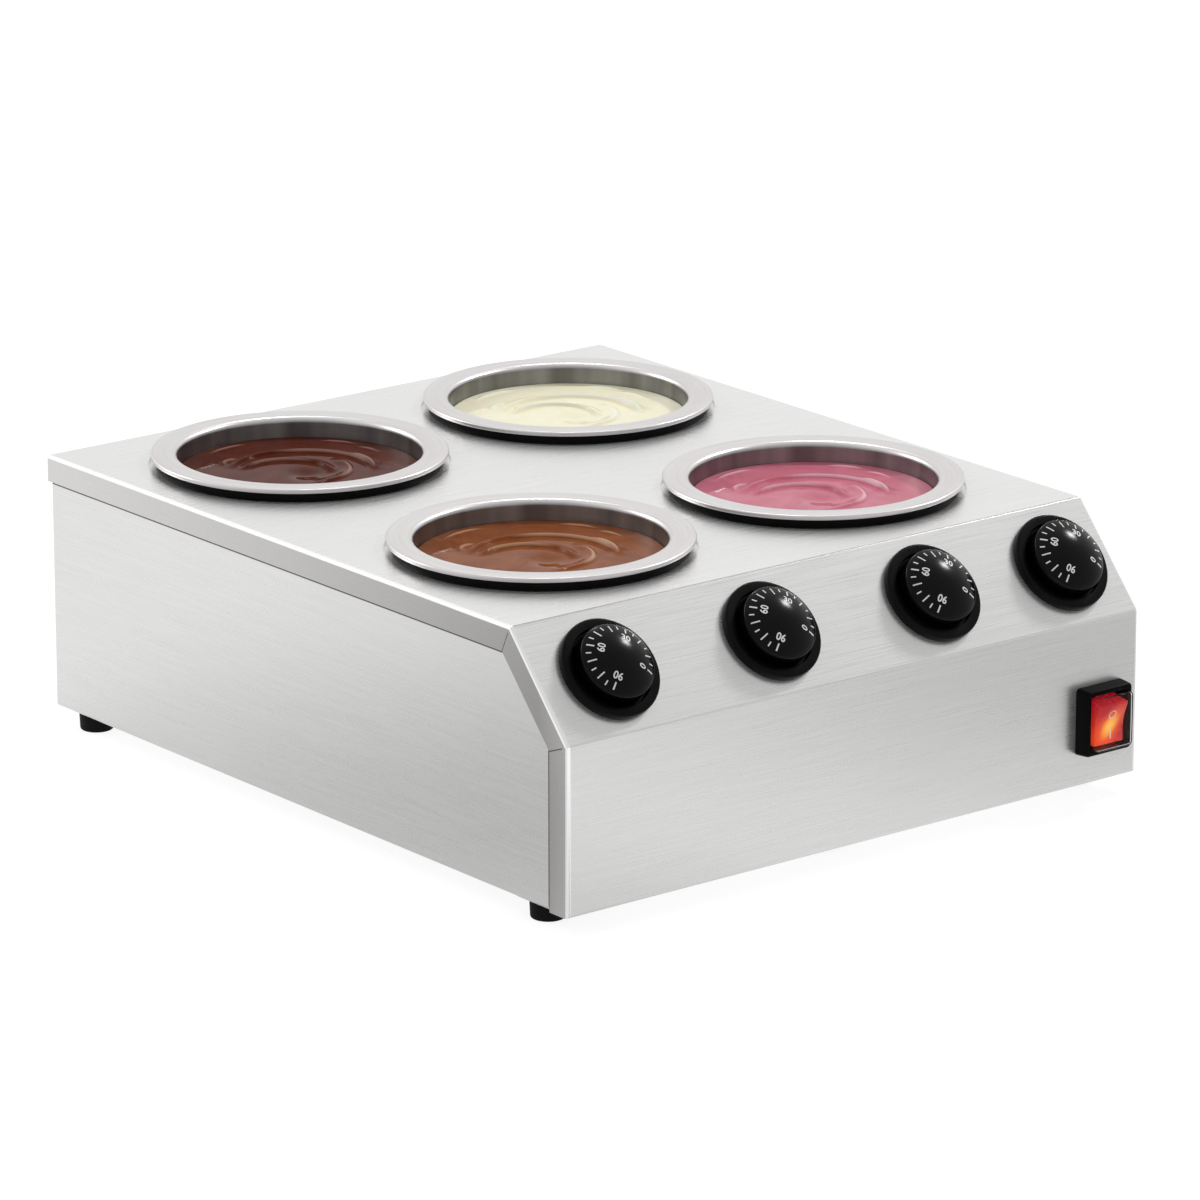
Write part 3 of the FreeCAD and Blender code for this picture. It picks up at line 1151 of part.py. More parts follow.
def make_terminal_block():
    """Three-way supply block on the base plate, stepped on both sides, with screws in its top."""
    body = new_body("terminal_block", x="Sizes.block_across", y="Sizes.block_along", z=PLATE_TOP)
    section = new_sketch(body, "YZ", "block_section")
    half, step, top = "Sizes.block_width / 2", "Sizes.block_step_height", "Sizes.block_height"
    inner = "(Sizes.block_width / 2 - Sizes.block_step_width)"
    polygon(section, [("-" + half, "0"), (half, "0"), (half, step), (inner, step), (inner, top),
                      ("-" + inner, top), ("-" + inner, step), ("-" + half, step)])
    pad(body, "block", section, "Sizes.block_length", both_sides=True)
    wells = new_sketch(body, "XY", "screw_wells_outline", "Sizes.block_height")
    for sign in (-1, 0, 1):
        circle(wells, "%d * Sizes.block_screw_pitch" % sign, "0", "Sizes.block_screw_radius")
    pocket(body, "screw_wells", wells, "Sizes.block_screw_depth")
    return body


def make_all():
    pieces = [make_top_cover(), make_case_shell(), make_base_plate()]
    sides = ("left", "middle", "right")
    foot_names = ["foot_%s_%s" % (row, side) for row in ("front", "back") for side in sides]
    for label, (x, y) in zip(foot_names, foot_places()):
        pieces.append(make_foot(label, x, y))
    pieces += [make_foot_screws(), make_base_screws()]
    fills = {"front_left": "milk_chocolate", "back_left": "dark_chocolate",
             "back_right": "white_chocolate", "front_right": "ruby_chocolate"}
    for name in WELLS:
        pieces += [make_well(name), make_seat_ring(name), make_pot(name), make_fill(fills[name], name)]
        pieces += [make_band_heater(name), make_sensor(name)]
        pieces += [make_bezel(name), make_knob(name), make_shaft(name), make_thermostat(name)]
    pieces += [make_band_screws(), make_thermostat_screws()]
    pieces += [make_switch_frame(), make_splash_cover(), make_switch_body(), make_rocker()]
    pieces += [make_cable_gland(), make_gland_nut(), make_terminal_block()]
    return pieces


def check_and_write(pieces):
    """Every object has to be sound before any file is written."""
    doc.recompute()
    for item in doc.Objects:
        if "Invalid" in item.State or "Error" in item.State:
            raise RuntimeError("%s did not compute: %s" % (item.Label, item.State))
    for piece in pieces:
        if piece.Shape.isNull() or not piece.Shape.isValid():
            raise RuntimeError("%s has no sound shape" % piece.Label)
    for piece in pieces:
        piece.Shape.exportStep("parts/%s.step" % piece.Label)


check_and_write(make_all())
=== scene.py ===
import json
import math

import bmesh
import bpy
from mathutils import Matrix, Vector


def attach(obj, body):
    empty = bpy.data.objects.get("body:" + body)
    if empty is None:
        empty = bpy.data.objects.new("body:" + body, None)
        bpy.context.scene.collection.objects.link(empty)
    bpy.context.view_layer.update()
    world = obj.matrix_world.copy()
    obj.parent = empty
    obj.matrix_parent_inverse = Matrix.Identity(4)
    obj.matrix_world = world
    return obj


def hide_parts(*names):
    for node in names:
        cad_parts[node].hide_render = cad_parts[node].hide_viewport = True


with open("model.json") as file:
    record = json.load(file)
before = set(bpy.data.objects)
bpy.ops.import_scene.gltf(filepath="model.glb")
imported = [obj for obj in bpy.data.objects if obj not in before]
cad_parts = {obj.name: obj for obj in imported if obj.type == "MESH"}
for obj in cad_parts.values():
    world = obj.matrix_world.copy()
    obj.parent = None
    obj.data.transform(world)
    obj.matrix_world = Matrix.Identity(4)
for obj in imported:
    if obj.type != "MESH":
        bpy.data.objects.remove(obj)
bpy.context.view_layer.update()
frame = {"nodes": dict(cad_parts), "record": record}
scene = bpy.context.scene

# Sizes in metres, as in the part's source
MM = 0.001
FOOT = 10.5 * MM
TOP = 158.5 * MM
FRONT = -237.5 * MM
SLOPE_TURN = math.atan2(54, 48)
SLOPE_MIDDLE = Vector((0, -213.5 * MM, 131.5 * MM))
RIM_LEVEL = TOP + 7 * MM
WELL_LEVEL = TOP - 1.2 * MM
FILL_DROP = 12 * MM
POT_PLACES = {
    "front_left": (-96 * MM, -83 * MM),
    "back_left": (-96 * MM, 137 * MM),
    "back_right": (96 * MM, 137 * MM),
    "front_right": (96 * MM, -83 * MM),
}
DIAL_PLACES = {"front_left": -154 * MM, "back_left": -44 * MM, "back_right": 69 * MM, "front_right": 162 * MM}
CHOCOLATES = {
    "front_left": "milk_chocolate",
    "back_left": "dark_chocolate",
    "back_right": "white_chocolate",
    "front_right": "ruby_chocolate",
}
SWITCH_MIDDLE = Vector((172 * MM, FRONT, FOOT + 37.5 * MM))
FRAME_REACH = 9
COVER_WIDTH, COVER_TALL, COVER_REACH = 26.8, 31, 13.8
ROCKER_HALF_WIDTH, ROCKER_HALF_LENGTH = 10.7, 12
ROCKER_END, ROCKER_MIDDLE = 11.5, 9.3
DOME_CURVE = 39.14 * MM
DOME_TOP = 18 * MM
GLAND_MIDDLE = Vector((140 * MM, 245.5 * MM, FOOT + 25 * MM))
# Value that each dial shows, where it stands in degrees, degrees of one unit, and the turn either way
DIAL_VALUE, DIAL_ANGLE, UNIT_ANGLE, DIAL_TURN = 45, 97, 3, 135


# Camera

def place_camera():
    """Camera at the photograph's viewing angle, far off with a long lens."""
    azimuth, elevation = math.radians(-38.495), math.radians(16.665)
    distance, aim_right, aim_up = 3.9972, 0.008298, 0.077392
    back = Vector((math.sin(azimuth) * math.cos(elevation), -math.cos(azimuth) * math.cos(elevation),
                   math.sin(elevation)))
    right = Vector((math.cos(azimuth), math.sin(azimuth), 0))
    up = back.cross(right)
    data = bpy.data.cameras.new("camera")
    data.lens = 213.459
    data.sensor_width = 36
    data.clip_end = 100
    camera = bpy.data.objects.new("camera", data)
    scene.collection.objects.link(camera)
    spot = back * distance + right * aim_right + up * aim_up + Vector((0, 0, FOOT))
    turn = Matrix((right, up, back)).transposed().to_4x4()
    camera.matrix_world = Matrix.Translation(spot) @ turn
    scene.camera = camera


# Node helpers

class Nodes:
    """A node tree under construction, with short calls for its nodes."""

    def __init__(self, tree):
        self.tree = tree

    def node(self, kind, **settings):
        made = self.tree.nodes.new(kind)
        for key, value in settings.items():
            setattr(made, key, value)
        return made

    def feed(self, target, value):
        """Links a socket to an input, or sets the input to a number, vector or colour."""
        if isinstance(value, bpy.types.NodeSocket):
            self.tree.links.new(value, target)
        elif isinstance(value, tuple) and len(target.default_value) == 4:
            target.default_value = (*value, 1)
        else:
            target.default_value = value

    def coordinates(self, kind="Object"):
        return self.node("ShaderNodeTexCoord").outputs[kind]

    def apart(self, vector):
        made = self.node("ShaderNodeSeparateXYZ")
        self.feed(made.inputs[0], vector)
        return made.outputs

    def vector(self, x=0.0, y=0.0, z=0.0):
        made = self.node("ShaderNodeCombineXYZ")
        for socket, value in zip(made.inputs, (x, y, z)):
            self.feed(socket, value)
        return made.outputs[0]

    def vector_math(self, operation, first, second=(0, 0, 0)):
        made = self.node("ShaderNodeVectorMath", operation=operation)
        self.feed(made.inputs[0], first)
        self.feed(made.inputs[1], second)
        return made.outputs["Value" if operation in ("LENGTH", "DISTANCE") else "Vector"]

    def sum(self, operation, first, second=0):
        made = self.node("ShaderNodeMath", operation=operation)
        self.feed(made.inputs[0], first)
        self.feed(made.inputs[1], second)
        return made.outputs[0]

    def plus(self, first, second):
        return self.sum("ADD", first, second)

    def less(self, first, second):
        return self.sum("SUBTRACT", first, second)

    def times(self, first, second):
        return self.sum("MULTIPLY", first, second)

    def spread(self, value, low, high, out_low=0, out_high=1, smooth=False):
        """A value taken from one range to another and held at the ends."""
        made = self.node("ShaderNodeMapRange", interpolation_type="SMOOTHSTEP" if smooth else "LINEAR")
        for key, number in (("From Min", low), ("From Max", high), ("To Min", out_low), ("To Max", out_high)):
            made.inputs[key].default_value = number
        self.feed(made.inputs["Value"], value)
        return made.outputs[0]

    def mixed(self, factor, first, second):
        """One colour shading into another by a factor."""
        made = self.node("ShaderNodeMix", data_type="RGBA")
        for key, value in (("Factor", factor), (6, first), (7, second)):
            self.feed(made.inputs[key], value)
        return made.outputs[2]

    def rays(self):
        """The kinds of ray, those that are mirrored or pass through, and these with the camera's own."""
        kinds = self.node("ShaderNodeLightPath").outputs
        bounced = self.sum("MAXIMUM", kinds["Is Glossy Ray"], kinds["Is Transmission Ray"])
        return kinds, bounced, self.sum("MAXIMUM", kinds["Is Camera Ray"], bounced)


class Finish(Nodes):
    """A finish under construction, with its material and main shader."""

    def __init__(self, name):
        self.material = bpy.data.materials.new(name)
        self.material.use_nodes = True
        super().__init__(self.material.node_tree)
        self.shader = self.tree.nodes["Principled BSDF"]

    def set(self, **values):
        names = {"metallic": "Metallic", "ior": "IOR", "specular": "Specular IOR Level",
                 "transmission": "Transmission Weight", "glow": "Emission Color",
                 "glow_strength": "Emission Strength", "subsurface": "Subsurface Weight",
                 "subsurface_scale": "Subsurface Scale", "colour": "Base Color", "roughness": "Roughness"}
        for key, value in values.items():
            self.feed(self.shader.inputs[names[key]], value)

    def place(self, scale=(1, 1, 1), middle=(0, 0, 0), turn=(0, 0, 0)):
        """Object coordinates moved so that `middle` is zero, then scaled and turned."""
        shift = self.vector_math("SUBTRACT", self.coordinates(), middle)
        mapping = self.node("ShaderNodeMapping")
        for key, value in (("Rotation", turn), ("Scale", scale), ("Vector", shift)):
            self.feed(mapping.inputs[key], value)
        return mapping.outputs[0]

    def noise(self, where, scale=1.0, detail=2.0, rough=0.5, warp=0.0):
        made = self.node("ShaderNodeTexNoise")
        values = {"Vector": where, "Scale": scale, "Detail": detail, "Roughness": rough, "Distortion": warp}
        for key, value in values.items():
            self.feed(made.inputs[key], value)
        return made.outputs["Fac"]

    def bump(self, height, strength, distance):
        """Bump of a depth in mm; it is the last call and gives the material."""
        made = self.node("ShaderNodeBump")
        for key, value in (("Strength", strength), ("Distance", distance * MM), ("Height", height)):
            self.feed(made.inputs[key], value)
        self.feed(self.shader.inputs["Normal"], made.outputs[0])
        return self.material


def grey(level):
    return (level, level, level)


def brushed_steel():
    """Casing sheet: grain along the front on top, slope and apron, along the length on the sides. The bends
    down the sides are polished and carry a painted highlight, the bend from top to slope carries painted shade,
    the lips carry painted shade that darkens towards the front with a painted light band on the apron's lip,
    and painted shade lines darken the gaps under the lips and their mitres."""
    finish = Finish("brushed_steel")
    facing = finish.apart(finish.coordinates("Normal"))
    sideways = finish.sum("ABSOLUTE", facing[0])
    upwards = facing[2]
    side = finish.spread(sideways, 0.6, 0.8)
    grain_place = finish.node("ShaderNodeMix", data_type="VECTOR")
    along_front, along_sides = finish.place(scale=(22, 2100, 2100)), finish.place(scale=(2100, 22, 2100))
    for key, value in (("Factor", side), (4, along_front), (5, along_sides)):
        finish.feed(grain_place.inputs[key], value)
    fine = finish.noise(grain_place.outputs[1], detail=3)
    long_marks = finish.noise(grain_place.outputs[1], scale=0.3)
    cloud = finish.noise(finish.place(), scale=6)
    grain = finish.plus(finish.times(fine, 0.94), finish.times(long_marks, 0.06))
    tone = finish.mixed(finish.spread(grain, 0.3, 0.7), (0.70, 0.698, 0.692), (0.775, 0.773, 0.767))
    tone = finish.mixed(finish.spread(cloud, 0.35, 0.7, 0, 0.2), tone, (0.70, 0.695, 0.685))

    x, y, z = finish.apart(finish.coordinates())
    from_middle = finish.sum("ABSOLUTE", x)
    tilt = panel_place(0).to_3x3().col[2]
    below_top = finish.less(TOP, z)
    behind_front = finish.less(y, FRONT)
    up_slope = finish.plus(finish.times(y, tilt.y), finish.times(z, tilt.z))
    below_slope = finish.less(tilt.dot(SLOPE_MIDDLE), up_slope)
    on_lip = finish.times(side, finish.spread(from_middle, 198.6 * MM, 199.2 * MM))
    on_wall = finish.less(side, on_lip)
    # Painted shade on the lips: darkest towards the front and paler towards the back, with a paler painted
    # light band on the apron's lip
    lip_painted_shade = finish.mixed(finish.spread(y, -240 * MM, 220 * MM), (0.29, 0.276, 0.267), (0.62, 0.605, 0.595))
    lip_painted_shade = finish.mixed(finish.spread(y, -236 * MM, -212 * MM, 1, 0), lip_painted_shade, (0.52, 0.51, 0.505))
    tone = finish.mixed(finish.times(on_lip, 0.8), tone, lip_painted_shade)
    depth = finish.sum("MINIMUM", finish.less(below_slope, 0.4 * MM), finish.less(behind_front, 1.3 * MM))
    depth = finish.sum("MINIMUM", below_top, depth)
    # Painted shade: a dark line on the wall in the gap under the lips
    gap_painted_shade = finish.times(on_wall, finish.spread(depth, 16.3 * MM, 16.7 * MM, 1, 0))
    # Painted shade along the lips' mitre slits
    upper_mitre = finish.sum("ABSOLUTE", finish.less(below_top, below_slope))
    lower_mitre = finish.sum("ABSOLUTE", finish.less(below_slope, behind_front))
    mitre_painted_shade = finish.spread(finish.sum("MINIMUM", upper_mitre, lower_mitre), 0.2 * MM, 0.4 * MM, 1, 0)
    mitre_painted_shade = finish.times(finish.times(on_lip, mitre_painted_shade), finish.spread(depth, 2.2 * MM, 3 * MM, 0, 0.35))
    # Both painted shades, in the gap and in the mitre slits, go to near black
    tone = finish.mixed(finish.sum("MAXIMUM", gap_painted_shade, mitre_painted_shade), tone, (0.045, 0.042, 0.04))

    # Painted shade: the bend from the top to the slope darker
    top_bend_painted_shade = finish.times(finish.spread(upwards, 0.68, 0.74), finish.spread(upwards, 0.97, 0.995, 1, 0))
    top_bend_painted_shade = finish.times(top_bend_painted_shade, finish.spread(sideways, 0.02, 0.06, 1, 0))
    tone = finish.mixed(top_bend_painted_shade, tone, (0.37, 0.36, 0.36))
    # Painted highlight: the bends down the sides and the edges beside them near white, also polished to a lower
    # roughness
    side_bend = finish.times(finish.spread(sideways, 0.06, 0.16), finish.spread(sideways, 0.985, 0.998, 1, 0))
    beside = finish.times(finish.spread(from_middle, 197.4 * MM, 198.2 * MM),
                          finish.spread(sideways, 0.06, 0.16, 1, 0))
    polish_and_painted_highlight = finish.times(finish.sum("MAXIMUM", side_bend, beside), finish.spread(upwards, -0.15, -0.05))
    worn = finish.spread(finish.plus(grain, finish.times(cloud, 0.2)), 0.4, 0.85, 0.26, 0.33)
    finish.set(metallic=0.8, colour=finish.mixed(polish_and_painted_highlight, tone, grey(0.98)),
               roughness=finish.less(worn, finish.times(polish_and_painted_highlight, 0.14)))
    return finish.bump(grain, 0.05, 0.03)


def spun_steel(name, middle):
    """Pot steel: rings from spinning it, round the pot's own axis, bright on the rim, with painted shade
    darkening the inner wall below the mouth.
    """
    finish = Finish(name)
    x, y, z = finish.apart(finish.place(middle=middle))
    flat = finish.vector(x, y)
    reach = finish.vector_math("LENGTH", flat)
    turn = finish.apart(finish.vector_math("NORMALIZE", flat))
    across = finish.times(finish.plus(reach, z), 1500)
    ring_place = finish.vector(finish.times(turn[0], 1.6), finish.times(turn[1], 1.6), across)
    rings = finish.noise(ring_place, detail=3)
    haze = finish.noise(finish.place(middle=middle), scale=22, detail=3)
    tone = finish.mixed(finish.spread(rings, 0.3, 0.7), (0.585, 0.56, 0.56), (0.685, 0.66, 0.66))
    tone = finish.mixed(finish.spread(haze, 0.35, 0.75, 0, 0.35), tone, (0.54, 0.51, 0.51))
    # Painted shade: the inner wall below the mouth darkened, with streaks
    inner_painted_shade = finish.times(finish.spread(z, -3 * MM, -1.2 * MM, 1, 0),
                          finish.spread(reach, 69.8 * MM, 70.2 * MM, 1, 0))
    streaks = finish.noise(finish.place(middle=middle, scale=(60, 60, 4)))
    dark = finish.mixed(finish.spread(streaks, 0.3, 0.7), grey(0.15), grey(0.33))
    worn = finish.plus(rings, finish.times(haze, 0.4))
    finish.set(metallic=1.0, colour=finish.mixed(inner_painted_shade, tone, dark),
               roughness=finish.spread(worn, 0.4, 1.0, 0.26, 0.38))
    return finish.bump(rings, 0.08, 0.03)


def plain_metal(name, dark, light, smoothest, roughest, grain_scale):
    """Small fittings: plated or drawn metal with a fine speckle."""
    finish = Finish(name)
    speckle = finish.noise(finish.place(), scale=grain_scale, detail=4)
    cloud = finish.noise(finish.place(), scale=60)
    finish.set(metallic=1.0, colour=finish.mixed(finish.spread(speckle, 0.3, 0.7), dark, light),
               roughness=finish.spread(finish.plus(speckle, cloud), 0.7, 1.3, smoothest, roughest))
    return finish.bump(speckle, 0.15, 0.05)


def moulded_plastic(name, colour, pale, smoothest, roughest, pore_scale, pore_depth, shine):
    """Moulded plastic with the fine texture of its mould and a little wear in its sheen."""
    finish = Finish(name)
    pores = finish.noise(finish.place(), scale=pore_scale, detail=3, rough=0.6)
    cloud = finish.noise(finish.place(), scale=45, detail=3)
    finish.set(specular=shine, colour=finish.mixed(finish.spread(cloud, 0.35, 0.7), colour, pale),
               roughness=finish.spread(finish.plus(pores, cloud), 0.7, 1.3, smoothest, roughest))
    return finish.bump(pores, 0.25, pore_depth)


def melted_chocolate(name, middle, deep, light, crest_highlight_tone, glow, ior):
    """Melted chocolate: smooth and glossy, with a painted highlight on the crests of its folds and faint
    stirring streaks.
    """
    finish = Finish(name)
    streaks = finish.noise(finish.place(scale=(34, 34, 34), middle=middle), detail=3, warp=1.6)
    fine = finish.noise(finish.place(middle=middle), scale=420)
    body = finish.mixed(finish.spread(streaks, 0.35, 0.68), deep, light)
    # The fold attribute holds the painted highlight along the fold crests
    crest_highlights = finish.node("ShaderNodeAttribute", attribute_name="fold").outputs["Fac"]
    uneven = finish.plus(streaks, finish.times(fine, 0.4))
    finish.set(ior=ior, subsurface=glow, subsurface_scale=4 * MM,
               colour=finish.mixed(finish.spread(crest_highlights, 0.15, 1.0, 0, 0.8), body, crest_highlight_tone),
               roughness=finish.spread(uneven, 0.45, 0.95, 0.035, 0.07))
    return finish.bump(finish.plus(streaks, finish.times(fine, 0.05)), 0.12, 0.6)


def clear_plastic():
    """Soft clear moulding of the splash cover."""
    finish = Finish("clear_cover")
    waves = finish.noise(finish.place(), scale=160)
    finish.set(transmission=1.0, ior=1.16, roughness=finish.spread(waves, 0.3, 0.7, 0.02, 0.05),
               colour=finish.mixed(finish.spread(waves, 0.3, 0.7), grey(0.99), (0.96, 0.97, 0.97)))
    return finish.bump(waves, 0.1, 0.2)


def lit_red_lens():
    """Red rocker lit from behind: a long yellow glow in the middle, orange below it, deep red at the top."""
    finish = Finish("lit_red_lens")
    middle = tuple(SWITCH_MIDDLE + Vector((0.2, -9.5, -3.2)) * MM)
    turned_place = finish.place(middle=middle, turn=(0, math.radians(50), 0))
    local = finish.vector_math("MULTIPLY", turned_place, (76, 30, 135))
    ripple = finish.noise(finish.place(), scale=330)
    reach = finish.plus(finish.vector_math("LENGTH", local), finish.times(finish.less(ripple, 0.5), 0.25))
    x, _, z = finish.apart(finish.place(middle=middle))
    low = finish.spread(finish.plus(z, finish.times(x, 0.8)), -9 * MM, 5 * MM, 1, 0)
    outer = finish.mixed(low, (0.34, 0.006, 0.014), (0.58, 0.030, 0.012))
    halo = finish.mixed(finish.spread(reach, 0.4, 1.3, 1, 0), outer, (0.86, 0.13, 0.012))
    finish.set(specular=0.16, glow_strength=0.8,
               glow=finish.mixed(finish.spread(reach, 0.15, 0.7, 1, 0), halo, (1.0, 0.62, 0.10)),
               colour=finish.mixed(low, (0.24, 0.005, 0.010), (0.36, 0.014, 0.010)),
               roughness=finish.spread(ripple, 0.3, 0.7, 0.20, 0.30))
    return finish.bump(ripple, 0.1, 0.1)


FINISHES = {}
# By slot: name, two tones, smoothest and roughest, scale of the speckle
METALS = {
    "zinc_steel": ("zinc_plate", (0.46, 0.47, 0.48), (0.62, 0.63, 0.65), 0.28, 0.42, 900),
    "heater_band": ("heater_band_sleeve", (0.30, 0.30, 0.31), (0.44, 0.44, 0.45), 0.35, 0.5, 500),
    "sensor_copper": ("drawn_copper", (0.50, 0.24, 0.14), (0.66, 0.36, 0.22), 0.22, 0.38, 700),
}
# By slot: name, two tones, smoothest and roughest, scale and depth in mm of the pores, sheen
PLASTICS = {
    "seat_ring_black": ("seat_ring_black", grey(0.003), grey(0.006), 0.42, 0.58, 1600, 0.08, 0.08),
    "bezel_black": ("bezel_satin_black", grey(0.001), grey(0.003), 0.22, 0.32, 1800, 0.03, 0.08),
    "knob_black": ("knob_gloss_black", grey(0.0005), grey(0.001), 0.165, 0.20, 900, 0.005, 0.13),
    "black_plastic": ("switch_matt_black", grey(0.001), grey(0.003), 0.34, 0.5, 1500, 0.08, 0.05),
    "white_plastic": ("terminal_white", (0.70, 0.68, 0.63), (0.78, 0.76, 0.72), 0.35, 0.5, 900, 0.05, 0.5),
    "foot_rubber": ("foot_rubber", grey(0.004), grey(0.010), 0.5, 0.75, 1300, 0.15, 0.10),
    "white_print": ("printed_white", (0.80, 0.80, 0.79), (0.90, 0.90, 0.89), 0.3, 0.42, 2500, 0.02, 0.3),
}
# Deep and light tone, tone of the painted highlight on fold crests, share of light that goes through,
# refraction
SHADES = {
    "dark_chocolate": ((0.078, 0.014, 0.007), (0.112, 0.025, 0.012), (0.42, 0.25, 0.21), 0.0, 1.085),
    "milk_chocolate": ((0.22, 0.060, 0.017), (0.30, 0.095, 0.032), (0.72, 0.46, 0.30), 0.05, 1.10),
    "white_chocolate": ((0.95, 0.89, 0.65), (0.97, 0.93, 0.72), (0.98, 0.98, 0.93), 0.12, 1.14),
    "ruby_chocolate": ((0.58, 0.145, 0.21), (0.66, 0.20, 0.27), (0.95, 0.68, 0.74), 0.08, 1.14),
}


def make_finishes():
    FINISHES["casing_steel"] = brushed_steel()
    for slot, values in METALS.items():
        FINISHES[slot] = plain_metal(*values)
    for slot, values in PLASTICS.items():
        FINISHES[slot] = moulded_plastic(*values)
    FINISHES["clear_plastic"] = clear_plastic()
    FINISHES["red_lens"] = lit_red_lens()
    for place, fill in CHOCOLATES.items():
        x, y = POT_PLACES[place]
        FINISHES[fill] = melted_chocolate(fill, (x, y, RIM_LEVEL - FILL_DROP), *SHADES[fill])
        FINISHES["pot_" + place] = spun_steel("spun_steel_" + place, (x, y, RIM_LEVEL))


# Mesh helpers

def eased(corners, closed=False, steps=7):
    """Outline of (x, y) points whose corners are rounded by the radius that each corner brings."""
    points = []
    count = len(corners)
    for index, (x, y, radius) in enumerate(corners):
        here = Vector((x, y))
        if radius == 0 or (not closed and index in (0, count - 1)):
            points.append(here)
            continue
        before = (Vector(corners[index - 1][:2]) - here).normalized()
        after = (Vector(corners[(index + 1) % count][:2]) - here).normalized()
        half = before.angle(after) / 2
        middle = here + (before + after).normalized() * radius / math.sin(half)
        start = here + before * radius / math.tan(half) - middle
        finish = here + after * radius / math.tan(half) - middle
        first = math.atan2(start.y, start.x)
        sweep = (math.atan2(finish.y, finish.x) - first + math.pi) % math.tau - math.pi
        for step in range(steps + 1):
            angle = first + sweep * step / steps
            points.append(middle + Vector((math.cos(angle), math.sin(angle))) * radius)
    return points


def settle(piece, finish, sharp=32):
    """Merged, closed and outward-facing mesh, smooth except at edges sharper than the angle given."""
    mesh = piece.data
    shape = bmesh.new()
    shape.from_mesh(mesh)
    bmesh.ops.remove_doubles(shape, verts=shape.verts, dist=1e-7)
    bmesh.ops.recalc_face_normals(shape, faces=shape.faces)
    shape.to_mesh(mesh)
    shape.free()
    mesh.shade_smooth()
    mesh.set_sharp_from_angle(angle=math.radians(sharp))
    mesh.materials.clear()
    mesh.materials.append(FINISHES[finish])
    return piece


def new_piece(name, mesh):
    piece = bpy.data.objects.new(name, mesh)
    scene.collection.objects.link(piece)
    return piece


def finished(piece, body, slot, *nodes):
    """Hands a piece to the frame: what it rides on, and the CAD nodes that it stands for; its finish slot is
    not used.
    """
    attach(piece, body)
    if nodes:
        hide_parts(*nodes)
    return piece


def kept(shape, name):
    """A piece from a mesh under construction."""
    mesh = bpy.data.meshes.new(name)
    shape.to_mesh(mesh)
    shape.free()
    return new_piece(name, mesh)


def bridge(shape, low, high, closed=True):
    """Faces between two rows of vertices."""
    for index in range(len(low) if closed else len(low) - 1):
        other = (index + 1) % len(low)
        shape.faces.new((low[index], low[other], high[other], high[index]))


def skin_rows(shape, loops):
    """Rows of vertices for loops of points, each row bridged to the next."""
    rows = [[shape.verts.new(point) for point in loop] for loop in loops]
    for low, high in zip(rows, rows[1:]):
        bridge(shape, low, high)
    return rows


def skinned(name, loops, ring=False):
    """Skin over a row of loops of points; its ends are closed, or joined to each other where it is a ring."""
    shape = bmesh.new()
    rows = skin_rows(shape, loops)
    if ring:
        bridge(shape, rows[-1], rows[0])
    else:
        shape.faces.new(rows[0])
        shape.faces.new(rows[-1])
    return kept(shape, name)


# Geometry Nodes

class Tree(Nodes):
    """A geometry node tree under construction; its named inputs can be given by name as values."""

    def __init__(self, name):
        super().__init__(bpy.data.node_groups.new(name, "GeometryNodeTree"))
        for way in ("INPUT", "OUTPUT"):
            self.tree.interface.new_socket("Geometry", in_out=way, socket_type="NodeSocketGeometry")
        self.entry = self.node("NodeGroupInput")
        self.end = self.node("NodeGroupOutput")
        self.keys = {}

    def input(self, name, kind="NodeSocketFloat"):
        made = self.tree.interface.new_socket(name, in_out="INPUT", socket_type=kind)
        self.keys[name] = made.identifier
        return name

    def feed(self, target, value):
        super().feed(target, self.entry.outputs[value] if isinstance(value, str) else value)

    def wire(self, source, target):
        self.feed(target, source)

    def close(self, geometry, material):
        """Realizes what is left as instances, sets the finish and ends the tree."""
        realize = self.node("GeometryNodeRealizeInstances")
        self.wire(geometry, realize.inputs[0])
        paint = self.node("GeometryNodeSetMaterial")
        self.wire(realize.outputs[0], paint.inputs["Geometry"])
        self.wire(material, paint.inputs["Material"])
        self.wire(paint.outputs[0], self.end.inputs[0])


def run_tree(piece, tree, values):
    """Runs a tree on a piece once and keeps the result as its plain mesh."""
    step = piece.modifiers.new("make", "NODES")
    step.node_group = tree.tree
    for name, value in values.items():
        step[tree.keys[name]] = value
    piece.data.update()
    evaluated = piece.evaluated_get(bpy.context.evaluated_depsgraph_get())
    mesh = bpy.data.meshes.new_from_object(evaluated)
    piece.modifiers.clear()
    piece.data = mesh
    mesh.name = piece.name
    return piece


